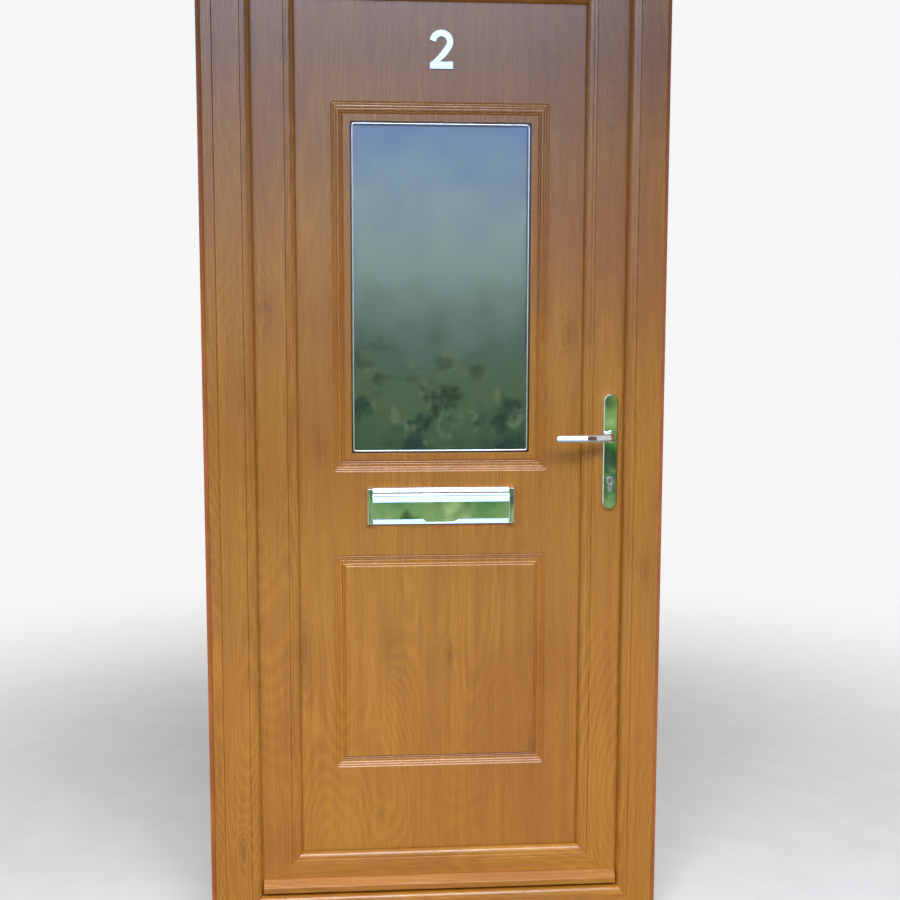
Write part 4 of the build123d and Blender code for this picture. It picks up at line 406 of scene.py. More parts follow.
# %% Oak foil
RINGS = 46.0
KNOT_RISE = 0.075
SWAY, WOBBLE = 0.05, 0.0035
STREAKS, FINE_STREAKS, PORES = 75.0, 420.0, 1100.0
RING_LEAST, RING_MORE = 0.026, 0.13
EMBOSSED = 0.00010
OAK_STOPS = ((0.20, (0.300, 0.106, 0.010)), (0.42, (0.410, 0.158, 0.014)),
             (0.60, (0.505, 0.212, 0.020)), (0.86, (0.600, 0.292, 0.034)))
OAK_RED = (0.420, 0.145, 0.022)
OAK_DARK = (0.150, 0.050, 0.012)


def oak(name, grain="Z", seed=0.0, knots=(), roughness=0.27):
    """A foil with its grain along X or Z. Knots are (x, z, half width, half length) in metres."""
    f = Finish(name)
    x, y, z = f.place()
    across, along = (x, z) if grain == "Z" else (z, x)
    mask = 0.0
    for kx, kz, width, length in knots:
        ka, kl = (kx, kz) if grain == "Z" else (kz, kx)
        away = ((across - ka) / width) ** 2 + ((along - kl) / length) ** 2
        mask = f.node("ShaderNodeMath", {"operation": "EXPONENT"}, {0: away * -1.0}) + mask
    sway = f.noise(f.vector(across * 2.1 + seed, y * 2.1, along * 0.7), detail=2)
    wobble = f.noise(f.vector(across * 36.0, y * 36.0, along * 9.0 + seed), detail=2)
    bent = across + (sway - 0.5) * SWAY + (wobble - 0.5) * WOBBLE + seed
    loops = f.noise(f.vector(bent * 5.0, y * 5.0, along * 1.05 + seed * 3.1), detail=1.0)
    rings = (loops + mask * KNOT_RISE) * RINGS + bent * 22.0
    wave = f.node("ShaderNodeMath", {"operation": "SINE"}, {0: rings * (2 * math.pi)}) * 0.5 + 0.5
    patch = f.noise(f.vector(bent * 7.0 + 4.0, y * 7.0, along * 1.6), detail=2)
    shown = (patch.eased(0.38, 0.66) + mask * 0.5) * RING_MORE + RING_LEAST
    streaks = f.noise(f.vector(bent * STREAKS, y * STREAKS, along * 1.5 + seed), detail=3,
                      roughness=0.6)
    fine = f.noise(f.vector(bent * FINE_STREAKS, y * FINE_STREAKS, along * 9.0), detail=3,
                   roughness=0.65)
    broad = f.noise(f.vector(bent * 3.0 + 9.0, y * 3.0, along * 2.4 + seed), detail=2)
    pores = f.noise(f.vector(bent * PORES, y * PORES, along * 40.0), detail=1).eased(0.60, 0.72)
    tone = wave ** 1.6 * shown + (streaks - 0.5) * 0.42 + (fine - 0.5) * 0.34
    tone = tone + (broad - 0.5) * 0.46 + 0.47 - mask * 0.12
    colour = f.ramp(tone, *OAK_STOPS)
    colour = f.mix(broad.eased(0.50, 0.34) * 0.45, colour, OAK_RED)
    colour = f.mix(pores * 0.22 + mask ** 3.0 * 0.28, colour, OAK_DARK)
    gloss = roughness + (fine - 0.5) * 0.14 + pores * 0.10
    height = fine * 0.6 - pores * 0.8
    return f.surface(Base_Color=colour, Roughness=gloss, Normal=f.bump(height, EMBOSSED, 0.5),
                     IOR=1.62)


# Where the photograph shows soft knots and loops on the panel
PANEL_KNOTS = ((0.018, 0.578, 0.012, 0.022), (-0.126, 0.232, 0.011, 0.020),
               (0.195, 0.377, 0.012, 0.022), (-0.108, 0.600, 0.022, 0.090),
               (-0.285, 0.600, 0.016, 0.090), (0.262, 1.250, 0.014, 0.050),
               (-0.250, 1.020, 0.014, 0.060))
LEFT_KNOTS = ((-0.415, 0.180, 0.013, 0.050), (-0.350, 1.300, 0.016, 0.060))
RIGHT_KNOTS = ((0.425, 0.760, 0.012, 0.040),)
print("oak foil ready")

# %% [markdown]
# ## Metals
# Three metals show: mirror chrome on the furniture, a duller nickel on the key cylinder, and
# zinc-plated steel on the lock and the screws. Polished metal is nearly all reflection, so the
# colour is plain and the life is in the roughness: faint wiping marks and finger smudges. Zinc
# plate has a blotchy bloom, so there the colour and the roughness both change in soft patches.

# %% Metals
def metal(name, light, dark, roughness, blotch, scale, depth=0.0):
    """A metal between two colours, with blotches this many to the metre."""
    f = Finish(name)
    x, y, z = f.place()
    patches = f.noise(f.vector(x, y, z), scale=scale, detail=4, roughness=0.6)
    wiping = f.noise(f.vector(x * 40.0, y * 40.0, z * 600.0), detail=2)
    colour = f.mix(patches.eased(0.35, 0.65), dark, light)
    gloss = roughness + (patches - 0.4) * blotch + (wiping - 0.5) * blotch * 0.5
    values = {"Base_Color": colour, "Roughness": gloss.limited(), "Metallic": 1.0}
    if depth:
        values["Normal"] = f.bump(patches, depth)
    return f.surface(**values)


chrome = metal("chrome", (0.80, 0.81, 0.83), (0.74, 0.75, 0.77), 0.035, 0.03, 60)
nickel = metal("satin_nickel", (0.64, 0.62, 0.57), (0.52, 0.50, 0.46), 0.24, 0.16, 160)
zinc = metal("zinc_steel", (0.62, 0.62, 0.60), (0.46, 0.47, 0.46), 0.34, 0.30, 90, 0.00004)
screw_zinc = metal("screw_steel", (0.60, 0.58, 0.50), (0.42, 0.41, 0.38), 0.36, 0.26, 300)
spacer_metal = metal("spacer_bar", (0.78, 0.78, 0.77), (0.62, 0.62, 0.62), 0.30, 0.20, 220)
print("metals ready")

# %% [markdown]
# ## Rubber, sealant, foam and plastics
# These are the parts that join and fill: black gaskets, the brown sealant round the frame, the
# panel's foam, glazing packers, the letterplate's sleeve and the painted hinges. Each is a dull
# or waxy surface with its own texture: rubber gets dust in it, foam has cells, moulded plastic
# has a fine orange-peel skin, and the tooled bead of sealant is glossy and slightly wavy.

# %% Dull materials
def dull(name, light, dark, roughness, scale, depth, spread=0.12, cells=False):
    """A matt or waxy material between two colours with a skin this many bumps to the metre."""
    f = Finish(name)
    x, y, z = f.place()
    point = f.vector(x, y, z)
    broad = f.noise(point, scale=scale * 0.06, detail=3)
    skin = f.noise(point, scale=scale, detail=2)
    if cells:
        skin = f.node("ShaderNodeTexVoronoi", {}, {"Vector": point, "Scale": scale}, "Distance")
    colour = f.mix((broad * 0.7 + skin * 0.3).eased(0.35, 0.65), dark, light)
    gloss = roughness + (broad - 0.5) * spread
    return f.surface(Base_Color=colour, Roughness=gloss, Normal=f.bump(skin, depth))


rubber = dull("black_rubber", (0.030, 0.030, 0.030), (0.012, 0.012, 0.013), 0.62, 900, 0.00006)
sealant = dull("brown_sealant", (0.540, 0.165, 0.036), (0.410, 0.110, 0.022), 0.22, 140, 0.0004)
foam = dull("foam", (0.72, 0.66, 0.50), (0.58, 0.52, 0.38), 0.85, 700, 0.0004, cells=True)
packer = dull("packer_plastic", (0.10, 0.20, 0.42), (0.07, 0.15, 0.34), 0.45, 500, 0.00005)
sleeve = dull("sleeve_plastic", (0.070, 0.062, 0.055), (0.040, 0.035, 0.030), 0.5, 700, 0.00008)
hinge_brown = dull("hinge_paint", (0.130, 0.062, 0.028), (0.095, 0.042, 0.018), 0.36, 800, 0.00005)
print("dull materials ready")

# %% [markdown]
# ## Glass
# A sealed unit is two panes with a bright spacer between them. The outer pane has to be truly
# clear, so that the spacer shows as a silver line all round. Indoors it is dim, so the glass
# looks dark and shows mostly reflections. Here nothing stands behind the door, so the inner pane
# is painted a deep grey: painted shade that stands in for the dim room and gives the same dark
# look from both sides.

# %% Glass
def pane_finish(name, colour, transmission, ior, haze):
    f = Finish(name)
    x, y, z = f.place()
    film = f.noise(f.vector(x, y, z), scale=7.0, detail=4, roughness=0.6)
    streaks = f.noise(f.vector(x * 60.0, y, z * 4.0), detail=2)
    gloss = haze + film.eased(0.45, 0.75) * haze + (streaks - 0.5) * haze * 0.6
    tint = f.mix(film, colour, tuple(min(1.0, c * 1.06 + 0.002) for c in colour))
    return f.surface(Base_Color=tint, Roughness=gloss.limited(), IOR=ior,
                     Transmission_Weight=transmission)


clear_glass = pane_finish("clear_glass", (0.90, 0.94, 0.92), 1.0, 1.52, 0.006)
# The inner pane's deep grey is painted shade: it stands for the dim room behind the door.
shade_painted_glass = pane_finish("shade_painted_glass", (0.034, 0.048, 0.042), 0.0, 2.10, 0.012)
print("glass ready")

# %% [markdown]
# ## Finishes on the solids
# Each solid that is already right keeps its mesh and only gets its finish. The foiled members get
# one each, with the grain along their length and their own part of the pattern, so that the
# mitred corners show where the grain turns.

# %% Put the finishes on
FOILS = {
    "frame_jamb_left": oak("foil_jamb_left", "Z", 1.7, LEFT_KNOTS[:1]),
    "frame_jamb_right": oak("foil_jamb_right", "Z", 4.3, RIGHT_KNOTS),
    "frame_extension": oak("foil_extension", "Z", 6.1),
    "frame_head": oak("foil_head", "X", 2.9),
    "frame_foot": oak("foil_foot", "X", 5.4),
    "sash_stile_hinge_side": oak("foil_stile_left", "Z", 3.4, LEFT_KNOTS[1:]),
    "sash_stile_lock_side": oak("foil_stile_right", "Z", 7.9),
    "sash_rail_top": oak("foil_rail_top", "X", 8.6),
    "sash_rail_bottom": oak("foil_rail_bottom", "X", 9.7),
    "glazing_beads": oak("foil_beads", "Z", 0.6),
    "weather_bar": oak("foil_weather_bar", "X", 2.2),
    "panel_outer_skin": oak("panel_foil_outer", "Z", 0.0, PANEL_KNOTS),
    "panel_inner_skin": oak("panel_foil_inner", "Z", 11.3, PANEL_KNOTS[2:5]),
    "lite_bead_outer": oak("foil_lite_bead_outer", "Z", 0.0),
    "lite_bead_inner": oak("foil_lite_bead_inner", "Z", 11.3),
}
CHROMED = ("numeral_two", "letterplate_frame_outer", "letterplate_frame_inner",
           "letterplate_flap_outer", "letterplate_flap_inner", "backplate_outer",
           "backplate_inner", "lever_outer", "lever_inner")
RUBBERS = ("frame_gasket", "sash_gasket", "panel_gasket_outer", "panel_gasket_inner")
STEELS = ("frame_steels", "sash_steels", "keep_centre", "keeps_hooks", "lock_case", "hook_cases",
          "lock_faceplate", "latch", "deadbolt", "hook_upper", "hook_lower", "spindle",
          "lock_follower")
SCREWS = ("frame_screws", "leaf_screws", "backplate_screws", "letterplate_bolts")
HINGES = tuple(f"hinge_{part}_{place}" for part in ("bracket", "flag")
               for place in ("lower", "middle", "upper"))
FINISHES = dict(FOILS)
for names, finish in ((CHROMED, chrome), (RUBBERS, rubber), (STEELS, zinc), (SCREWS, screw_zinc),
                      (HINGES, hinge_brown), (("cylinder_body", "cylinder_plug"), nickel),
                      (("perimeter_sealant",), sealant), (("panel_foam_core",), foam),
                      (("panel_packers",), packer), (("letterplate_sleeve",), sleeve),
                      (("glass_panes",), clear_glass), (("glass_spacer",), spacer_metal)):
    FINISHES.update({name: finish for name in names})
for name, finish in FINISHES.items():
    for place in NODES[name].material_slots:
        place.material = finish
print(len(FINISHES), "solids of", len(NODES), "have a finish")

# %% [markdown]
# ## Helpers for modelling
# The finer pieces are modelled in two ways. A piece whose outline is already right starts as a
# copy of its solid: the loose triangles are merged, flat areas are dissolved back into single
# faces, the sharp edges get a small bevel and the curves are shaded smooth. A piece whose shape
# has more to it than the solid starts from a primitive and is shaped in edit mode.
#
# An operator acts on what is selected, so one helper selects faces, edges or corners by where
# they are and which way they face.

# %% Modelling helpers
SAME_PLACE = 0.01 * MM


def pick(kind, test):
    """Selects in edit mode what passes a test on its middle and its direction; gives the count."""
    mesh = bmesh.from_edit_mesh(bpy.context.object.data)
    bpy.ops.mesh.select_mode(type=kind)
    bpy.ops.mesh.select_all(action="DESELECT")
    count = 0
    for item in {"FACE": mesh.faces, "EDGE": mesh.edges, "VERT": mesh.verts}[kind]:
        corners = [item] if kind == "VERT" else list(item.verts)
        middle = sum((corner.co for corner in corners), Vector()) / len(corners)
        if kind == "FACE":
            middle = item.calc_center_bounds()
        facing = item.normal if kind != "EDGE" else corners[1].co - corners[0].co
        if test(middle, facing):
            item.select_set(True)
            count += 1
    mesh.select_flush_mode()
    bmesh.update_edit_mesh(bpy.context.object.data)
    return count


def begin(name, add, **settings):
    """Adds a primitive as a new piece and leaves it open in edit mode."""
    bpy.ops.object.select_all(action="DESELECT")
    add(**settings)
    piece = bpy.context.object
    piece.name = piece.data.name = name
    bpy.ops.object.transform_apply(location=True, rotation=True, scale=True)
    bpy.ops.object.mode_set(mode="EDIT")
    return piece


def face_outwards():
    """Turns all faces of the piece in edit mode outwards."""
    bpy.ops.mesh.select_all(action="SELECT")
    bpy.ops.mesh.normals_make_consistent(inside=False)


def modify(piece, kind, **settings):
    """Puts a modifier on a piece and applies it."""
    modifier = piece.modifiers.new(kind.lower(), kind)
    for key, setting in settings.items():
        setattr(modifier, key, setting)
    bpy.ops.object.modifier_apply(modifier=modifier.name)


def finish_piece(piece, body, nodes, material, smooth=30):
    """Leaves edit mode, shades the piece, gives it its finish, hangs it on its body and hides the
    solids that it replaces.
    """
    if piece.mode == "EDIT":
        bpy.ops.object.mode_set(mode="OBJECT")
    bpy.ops.object.shade_smooth_by_angle(angle=math.radians(smooth))
    modify(piece, "WEIGHTED_NORMAL", keep_sharp=True)
    piece.data.materials.clear()
    piece.data.materials.append(material)
    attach(piece, body)
    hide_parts(*nodes)
    bpy.ops.object.select_all(action="DESELECT")


def finer(node, name, body, bevel=0.0, steps=2, smooth=30, sharp=35, shape=None):
    """A merged copy of a solid with bevelled edges, which takes over its finish. A shape function
    is called in edit mode before the bevel."""
    bpy.ops.object.select_all(action="DESELECT")
    solid = NODES[node]
    piece = bpy.data.objects.new(name, solid.data.copy())
    piece.data.name = name
    bpy.context.scene.collection.objects.link(piece)
    bpy.context.view_layer.objects.active = piece
    piece.select_set(True)
    bpy.ops.object.mode_set(mode="EDIT")
    bpy.ops.mesh.select_all(action="SELECT")
    bpy.ops.mesh.remove_doubles(threshold=SAME_PLACE)
    bpy.ops.mesh.dissolve_limited(angle_limit=math.radians(1.0))
    if shape:
        shape()
    bpy.ops.object.mode_set(mode="OBJECT")
    if bevel:
        modify(piece, "BEVEL", width=bevel, segments=steps, limit_method="ANGLE",
               angle_limit=math.radians(sharp), harden_normals=False)
    finish_piece(piece, body, [node], solid.material_slots[0].material, smooth)
    return piece


print("modelling helpers ready")

# %% [markdown]
# ## The moulded panel skins
# The panel is a foam core between two thin skins, and its mouldings are pressed into the skins: a
# channel round the glazed opening and another round a plain field below it. Each channel steps
# down in three small rounded reeds, has a narrow floor, and rises again in two reeds. The reeds
# are what catches the light as fine bright lines, so they have to be there as shape.
#
# Sweeping a profile along the rectangle would do, but insets are simpler and close the corners by
# themselves: each inset moves the edge inwards and down by one small step of the profile. The
# outermost corners are rounded first. After two reeds the rounding is used up, so the little that
# is left of each corner is merged to one point, and the lines further in meet in plain mitres.

# %% Panel skins
SKIN = 2.5 * MM
SKIN_HALF_WIDTH, SKIN_LOW, SKIN_HIGH = 305.5 * MM, 144.5 * MM, 1925.5 * MM
MOULDING_HALF = 222.5 * MM
LITE_MOULDING = (969 * MM, 1717 * MM)
FIELD_MOULDING = (338 * MM, 795 * MM)
SLOT_HOLE = (129.5 * MM, 876.5 * MM, 919.5 * MM)
REED = ((0.7, 0.20), (1.0, 0.55), (1.0, 0.75), (0.6, 0.85), (1.03, -0.35))
OUTER_SLOPE, FLOOR_WIDTH, INNER_SLOPE, CHANNEL_DEPTH = 13 * MM, 2.5 * MM, 9.5 * MM, 6 * MM
OUTER_REEDS, INNER_REEDS = 3, 2
CORNER_REST, CORNER_MERGE = 0.03 * MM, 1.5 * MM
CORNER_SEGMENTS = 4
MOULDING_MIDDLES = [sum(span) / 2 for span in (LITE_MOULDING, FIELD_MOULDING)]
LITE_HALF = MOULDING_HALF - OUTER_SLOPE - FLOOR_WIDTH - INNER_SLOPE
LITE_LOW = LITE_MOULDING[0] + OUTER_SLOPE + FLOOR_WIDTH + INNER_SLOPE


def reed_steps(width, depth, count):
    """The insets (across, down) of this many reeds that share a width and a depth."""
    full_across, full_down = (sum(step[i] for step in REED) for i in (0, 1))
    return [(across / full_across * width / count, down / full_down * depth / count)
            for across, down in REED] * count


def begin_empty(name):
    """A new piece in edit mode with nothing in it yet."""
    piece = begin(name, bpy.ops.mesh.primitive_plane_add, size=0.001)
    bpy.ops.mesh.delete(type="VERT")
    return piece


def add_sheet(half, low, high, face, outwards):
    """A flat upright sheet at this face of the leaf, turned outwards."""
    bpy.ops.mesh.primitive_plane_add(size=1, location=(0, face, (low + high) / 2),
                                     rotation=(-outwards * math.pi / 2, 0, 0))
    bpy.ops.transform.resize(value=(2 * half, 1, high - low))


def in_moulding(middle, facing):
    """Whether a face is the one in the middle of a moulding."""
    return (abs(middle.x) < 1 * MM
            and any(abs(middle.z - place) < 1 * MM for place in MOULDING_MIDDLES))


print("one reed:", [(round(a / MM, 2), round(d / MM, 2))
                    for a, d in reed_steps(OUTER_SLOPE, CHANNEL_DEPTH, OUTER_REEDS)[:len(REED)]])


# %% The two mouldings
def press_mouldings(face, outwards):
    """Sets both mouldings in, reed by reed, from two flat sheets."""
    for low, high in (LITE_MOULDING, FIELD_MOULDING):
        add_sheet(MOULDING_HALF, low, high, face, outwards)
    bpy.ops.mesh.select_all(action="SELECT")
    rounding = (OUTER_SLOPE * 2 / 3 + CORNER_REST) / math.cos(math.pi / 4 / CORNER_SEGMENTS)
    bpy.ops.mesh.bevel(offset=rounding, offset_type="OFFSET", segments=CORNER_SEGMENTS,
                       affect="VERTICES")
    for number, (across, down) in enumerate(reed_steps(OUTER_SLOPE, CHANNEL_DEPTH, OUTER_REEDS)):
        assert pick("FACE", in_moulding) == 2
        bpy.ops.mesh.inset(thickness=across, depth=-down, use_even_offset=True)
        if number == 2 * len(REED) - 1:
            pick("FACE", in_moulding)
            bpy.ops.mesh.remove_doubles(threshold=CORNER_MERGE)
    pick("FACE", in_moulding)
    bpy.ops.mesh.inset(thickness=FLOOR_WIDTH, use_even_offset=True)
    for across, up in reversed(reed_steps(INNER_SLOPE, CHANNEL_DEPTH, INNER_REEDS)):
        pick("FACE", in_moulding)
        bpy.ops.mesh.inset(thickness=across, depth=up, use_even_offset=True)
    pick("FACE", lambda middle, facing: in_moulding(middle, facing) and middle.z > LITE_LOW)
    bpy.ops.mesh.delete(type="FACE")


def fill_flat(piece, face, outwards):
    """Adds the outer edge and the letter slot as bare edges and fills the flat between all open
    edges, apart from the glazed opening."""
    for half, low, high in ((SKIN_HALF_WIDTH, SKIN_LOW, SKIN_HIGH), SLOT_HOLE):
        add_sheet(half, low, high, face, outwards)
        bpy.ops.mesh.delete(type="ONLY_FACE")
    mesh = bmesh.from_edit_mesh(piece.data)
    bpy.ops.mesh.select_mode(type="EDGE")
    bpy.ops.mesh.select_all(action="DESELECT")
    for edge in mesh.edges:
        inside = all(abs(v.co.x) < LITE_HALF + 1 * MM and v.co.z > LITE_LOW - 1 * MM
                     and v.co.z < LITE_MOULDING[1] - 20 * MM for v in edge.verts)
        if (edge.is_boundary or edge.is_wire) and not inside:
            edge.select_set(True)
    bmesh.update_edit_mesh(piece.data)
    bpy.ops.mesh.mark_sharp()
    bpy.ops.mesh.fill(use_beauty=True)
    pick("FACE", lambda middle, facing: facing.y * outwards < 0)
    bpy.ops.mesh.flip_normals()
    bpy.ops.mesh.select_all(action="DESELECT")


print("mouldings at", [round(middle, 3) for middle in MOULDING_MIDDLES], "m")


# %% The two skins
def panel_skin(name, node, face, outwards):
    piece = begin_empty(name)
    press_mouldings(face, outwards)
    fill_flat(piece, face, outwards)
    bpy.ops.object.mode_set(mode="OBJECT")
    modify(piece, "SOLIDIFY", thickness=SKIN, offset=-1, use_even_offset=True)
    material = NODES[node].material_slots[0].material
    finish_piece(piece, "leaf", [node], material, smooth=18)
    depths = [v.co.y for v in piece.data.vertices]
    print(name, len(piece.data.polygons), "faces, y from", round(min(depths), 4), "to",
          round(max(depths), 4))


panel_skin("panel_face_outer", "panel_outer_skin", 6 * MM, -1)
panel_skin("panel_face_inner", "panel_inner_skin", 34 * MM, 1)

# %% [markdown]
# ## The sealed glass unit
# Each pane is a plain sheet with its sharp edges taken off, as ground glass has. The outer one is
# clear and shows the spacer; the inner one is painted deep grey as the shade of the dim room.
# Both are cubes at their true size whose edges are bevelled.

# %% Glass panes
PANE_HALF_WIDTH, PANE_LOW, PANE_HIGH = 193.8 * MM, 997.7 * MM, 1688.3 * MM
PANE_THICKNESS, GROUND_EDGE = 4 * MM, 0.5 * MM
OUTER_PANE_FRONT, INNER_PANE_FRONT = 10 * MM, 26 * MM


def pane(name, front, material):
    piece = begin(name, bpy.ops.mesh.primitive_cube_add, size=1,
                  location=(0, front + PANE_THICKNESS / 2, (PANE_LOW + PANE_HIGH) / 2),
                  scale=(2 * PANE_HALF_WIDTH, PANE_THICKNESS, PANE_HIGH - PANE_LOW))
    bpy.ops.mesh.select_all(action="SELECT")
    bpy.ops.mesh.bevel(offset=GROUND_EDGE, segments=2, affect="EDGES")
    finish_piece(piece, "leaf", ["glass_panes"], material, smooth=20)


pane("pane_outer", OUTER_PANE_FRONT, clear_glass)
# The inner pane carries the painted shade of the dim room behind the door.
pane("pane_inner", INNER_PANE_FRONT, shade_painted_glass)
print("two panes,", round((INNER_PANE_FRONT - OUTER_PANE_FRONT - PANE_THICKNESS) / MM, 1), "mm apart")

# %% [markdown]
# ## The bright lip round the glass
# Between the bead and the glass runs a slim bright line with rounded corners: the edge seal of the
# unit. It is drawn here as a thin, half-round frame on the pane, from a plain sheet whose corners
# are rounded, whose middle is inset and taken out, and which is then given thickness and a soft
# edge.

# %% Glazing lip
LIP_WIDTH, LIP_DEPTH, LIP_ROUND = 2.8 * MM, 1.0 * MM, 6.5 * MM
LIP_EDGE, LIP_WALL, LIP_STAND_OFF = 0.8 * MM, 0.3 * MM, 0.3 * MM
LIP_HALF, LIP_LOW, LIP_HIGH = 181.0 * MM, 1010.5 * MM, 1675.5 * MM


def glazing_lip(name, front, outwards):
    piece = begin_empty(name)
    add_sheet(LIP_HALF, LIP_LOW, LIP_HIGH, front, outwards)
    bpy.ops.mesh.bevel(offset=LIP_ROUND, segments=6, affect="VERTICES")
    pick("FACE", lambda middle, facing: True)
    bpy.ops.mesh.inset(thickness=LIP_WIDTH / 2, depth=LIP_DEPTH, use_even_offset=True)
    bpy.ops.mesh.inset(thickness=LIP_WIDTH / 2, depth=-LIP_DEPTH, use_even_offset=True)
    bpy.ops.mesh.delete(type="FACE")
    ridge = front + outwards * LIP_DEPTH
    pick("EDGE", lambda middle, along: abs(middle.y - ridge) < 0.1 * MM)
    bpy.ops.mesh.bevel(offset=LIP_EDGE, segments=3, affect="EDGES")
    bpy.ops.object.mode_set(mode="OBJECT")
    modify(piece, "SOLIDIFY", thickness=LIP_WALL, offset=-1)
    finish_piece(piece, "leaf", [], spacer_metal, smooth=50)


glazing_lip("glazing_lip_outer", OUTER_PANE_FRONT - LIP_STAND_OFF, -1)
glazing_lip("glazing_lip_inner", INNER_PANE_FRONT + PANE_THICKNESS + LIP_STAND_OFF, 1)
print("two lips,", round((LIP_HIGH - LIP_LOW) / MM), "mm high")

# %% [markdown]
# ## Foiled members with softened edges
# A foiled profile has no truly sharp edge: the foil is rolled round a small radius everywhere. The
# members keep their sections, and each edge gets a fine bevel, which gives the thin light and dark
# lines along every corner. Bevelling by hand on each quirk would be long; the Bevel modifier
# finds all edges over an angle.

# %% Foiled members
SOFT, BLUNT, ROUND = (0.5 * MM, 2, 35), (0.6 * MM, 2, 35), (2.6 * MM, 4, 15)
MEMBERS = [(f"frame_{part}", part, "frame", "frame_foil", SOFT)
           for part in ("jamb_left", "head", "foot", "extension")]
MEMBERS += [(f"sash_{part}", part, "leaf", "sash_foil", SOFT)
            for part in ("stile_hinge_side", "rail_top", "rail_bottom")]
MEMBERS += [("glazing_beads", "beads", "leaf", "sash_foil", SOFT),
            ("weather_bar", "bar", "leaf", "sash_foil", ROUND)]
MEMBERS += [(f"lite_bead_{side}", f"lite_edge_{side}", "leaf", "lite_bead", BLUNT)
            for side in ("outer", "inner")]
for node, name, body, slot, (bevel, steps, sharp) in MEMBERS:
    piece = finer(node, name, body, bevel, steps, sharp=sharp)
    print(name, len(piece.data.polygons), "faces")

# %% [markdown]
# ## Lever handles
# The lever comes straight out of a round collar, bends sideways in one sweep and runs along the
# door with a rounded tip. Its front isn't flat: a soft ridge runs along it below the middle, so
# that the broad upper side mirrors the sky and the narrow lower side the ground. A curve with a
# bevel profile could sweep it, but the section would turn on the way. Here a block with the
# section is extruded out of the collar, spun round the bend and extruded along to the tip.

# %% Levers
SPINDLE = (350.5 * MM, 1042 * MM)
HUB_FACE, ARM_PLACE = -24.5 * MM, -66 * MM
BENDS = ((30 * MM, math.radians(60), 14), (90 * MM, math.radians(30), 14))
FIRST_SINE = math.sin(BENDS[0][1])
BEND_DEPTH = BENDS[0][0] * FIRST_SINE + BENDS[1][0] * (1 - FIRST_SINE)
NECK_END = ARM_PLACE + BEND_DEPTH
ARM_DEPTH, ARM_HEIGHT = 12 * MM, 16 * MM
TIP_X = 230.5 * MM
TIP_STEPS = ((3.5 * MM, 0.93), (2.5 * MM, 0.82), (1.2 * MM, 0.66))
RIDGE_BELOW, RIDGE_EDGE = 2.2 * MM, 1.0 * MM
UPPER_BACK, LOWER_BACK = 3.0 * MM, 2.8 * MM
ARM_EDGE = 3.4 * MM
HUB_RADIUS, HUB_LENGTH, HUB_MIDDLE = 9 * MM, 10 * MM, -15.5 * MM
COLLAR_RADIUS, COLLAR_BACK = 12.5 * MM, HUB_MIDDLE - HUB_LENGTH / 2
COLLAR_STEPS = ((3.5 * MM, 1.0), (0.7 * MM, 0.965), (0.3 * MM, 0.90))
LEVERS_MIDDLE = 25 * MM


def lever_neck():
    """The short block out of the collar, with the lever's section: sloped, ridged and rounded."""
    x, z = SPINDLE
    piece = begin("lever_handle_outer", bpy.ops.mesh.primitive_cube_add, size=1,
                  location=(x, (HUB_FACE + NECK_END) / 2, z),
                  scale=(ARM_DEPTH, HUB_FACE - NECK_END, ARM_HEIGHT))
    bpy.ops.mesh.select_all(action="SELECT")
    bpy.ops.mesh.bisect(plane_co=(x, 0, z - RIDGE_BELOW), plane_no=(0, 0, 1))
    for side, back in ((1, UPPER_BACK), (-1, LOWER_BACK)):
        pick("EDGE", lambda middle, along: middle.x > x + 5 * MM and abs(along.y) > 3 * MM
             and abs(along.z) < 1 * MM and (middle.z - z) * side > 7 * MM)
        bpy.ops.transform.translate(value=(-back, 0, 0))
    pick("EDGE", lambda middle, along: abs(along.y) > 3 * MM and abs(middle.z - z) > 7 * MM)
    bpy.ops.mesh.bevel(offset=ARM_EDGE, segments=5, affect="EDGES")
    pick("EDGE", lambda middle, along: abs(along.y) > 3 * MM and middle.x > x + 5.5 * MM
         and abs(middle.z - z + RIDGE_BELOW) < 0.5 * MM)
    bpy.ops.mesh.bevel(offset=RIDGE_EDGE, segments=3, affect="EDGES")
    return piece


def lever_arm():
    """Spins the end of the neck round both bends and draws it out to the rounded tip."""
    x, z = SPINDLE
    pick("FACE", lambda middle, facing: facing.y < -0.99 and middle.y < NECK_END + 0.5 * MM)
    turned, reach = 0.0, Vector((x, NECK_END, z))
    for radius, angle, steps in BENDS:
        towards = Vector((math.cos(turned), -math.sin(turned), 0))
        centre = reach - towards * radius
        bpy.ops.mesh.spin(steps=steps, angle=angle, center=centre, axis=(0, 0, 1))
        turned += angle
        reach = centre + Vector((math.cos(turned), -math.sin(turned), 0)) * radius
    pick("FACE", lambda middle, facing: facing.x < -0.99 and middle.x < reach.x + 0.5 * MM)
    tip_length = sum(step for step, size in TIP_STEPS)
    bpy.ops.mesh.extrude_region_move(
        TRANSFORM_OT_translate={"value": (TIP_X + tip_length - reach.x, 0, 0)})
    shrunk = 1.0
    for step, size in TIP_STEPS:
        bpy.ops.mesh.extrude_region_move(TRANSFORM_OT_translate={"value": (-step, 0, 0)})
        bpy.ops.transform.resize(value=(1, size / shrunk, size / shrunk))
        shrunk = size
    bpy.ops.mesh.select_all(action="DESELECT")
    bpy.ops.mesh.select_interior_faces()
    bpy.ops.mesh.delete(type="FACE")
    bpy.ops.mesh.select_all(action="SELECT")
    bpy.ops.mesh.remove_doubles(threshold=SAME_PLACE)


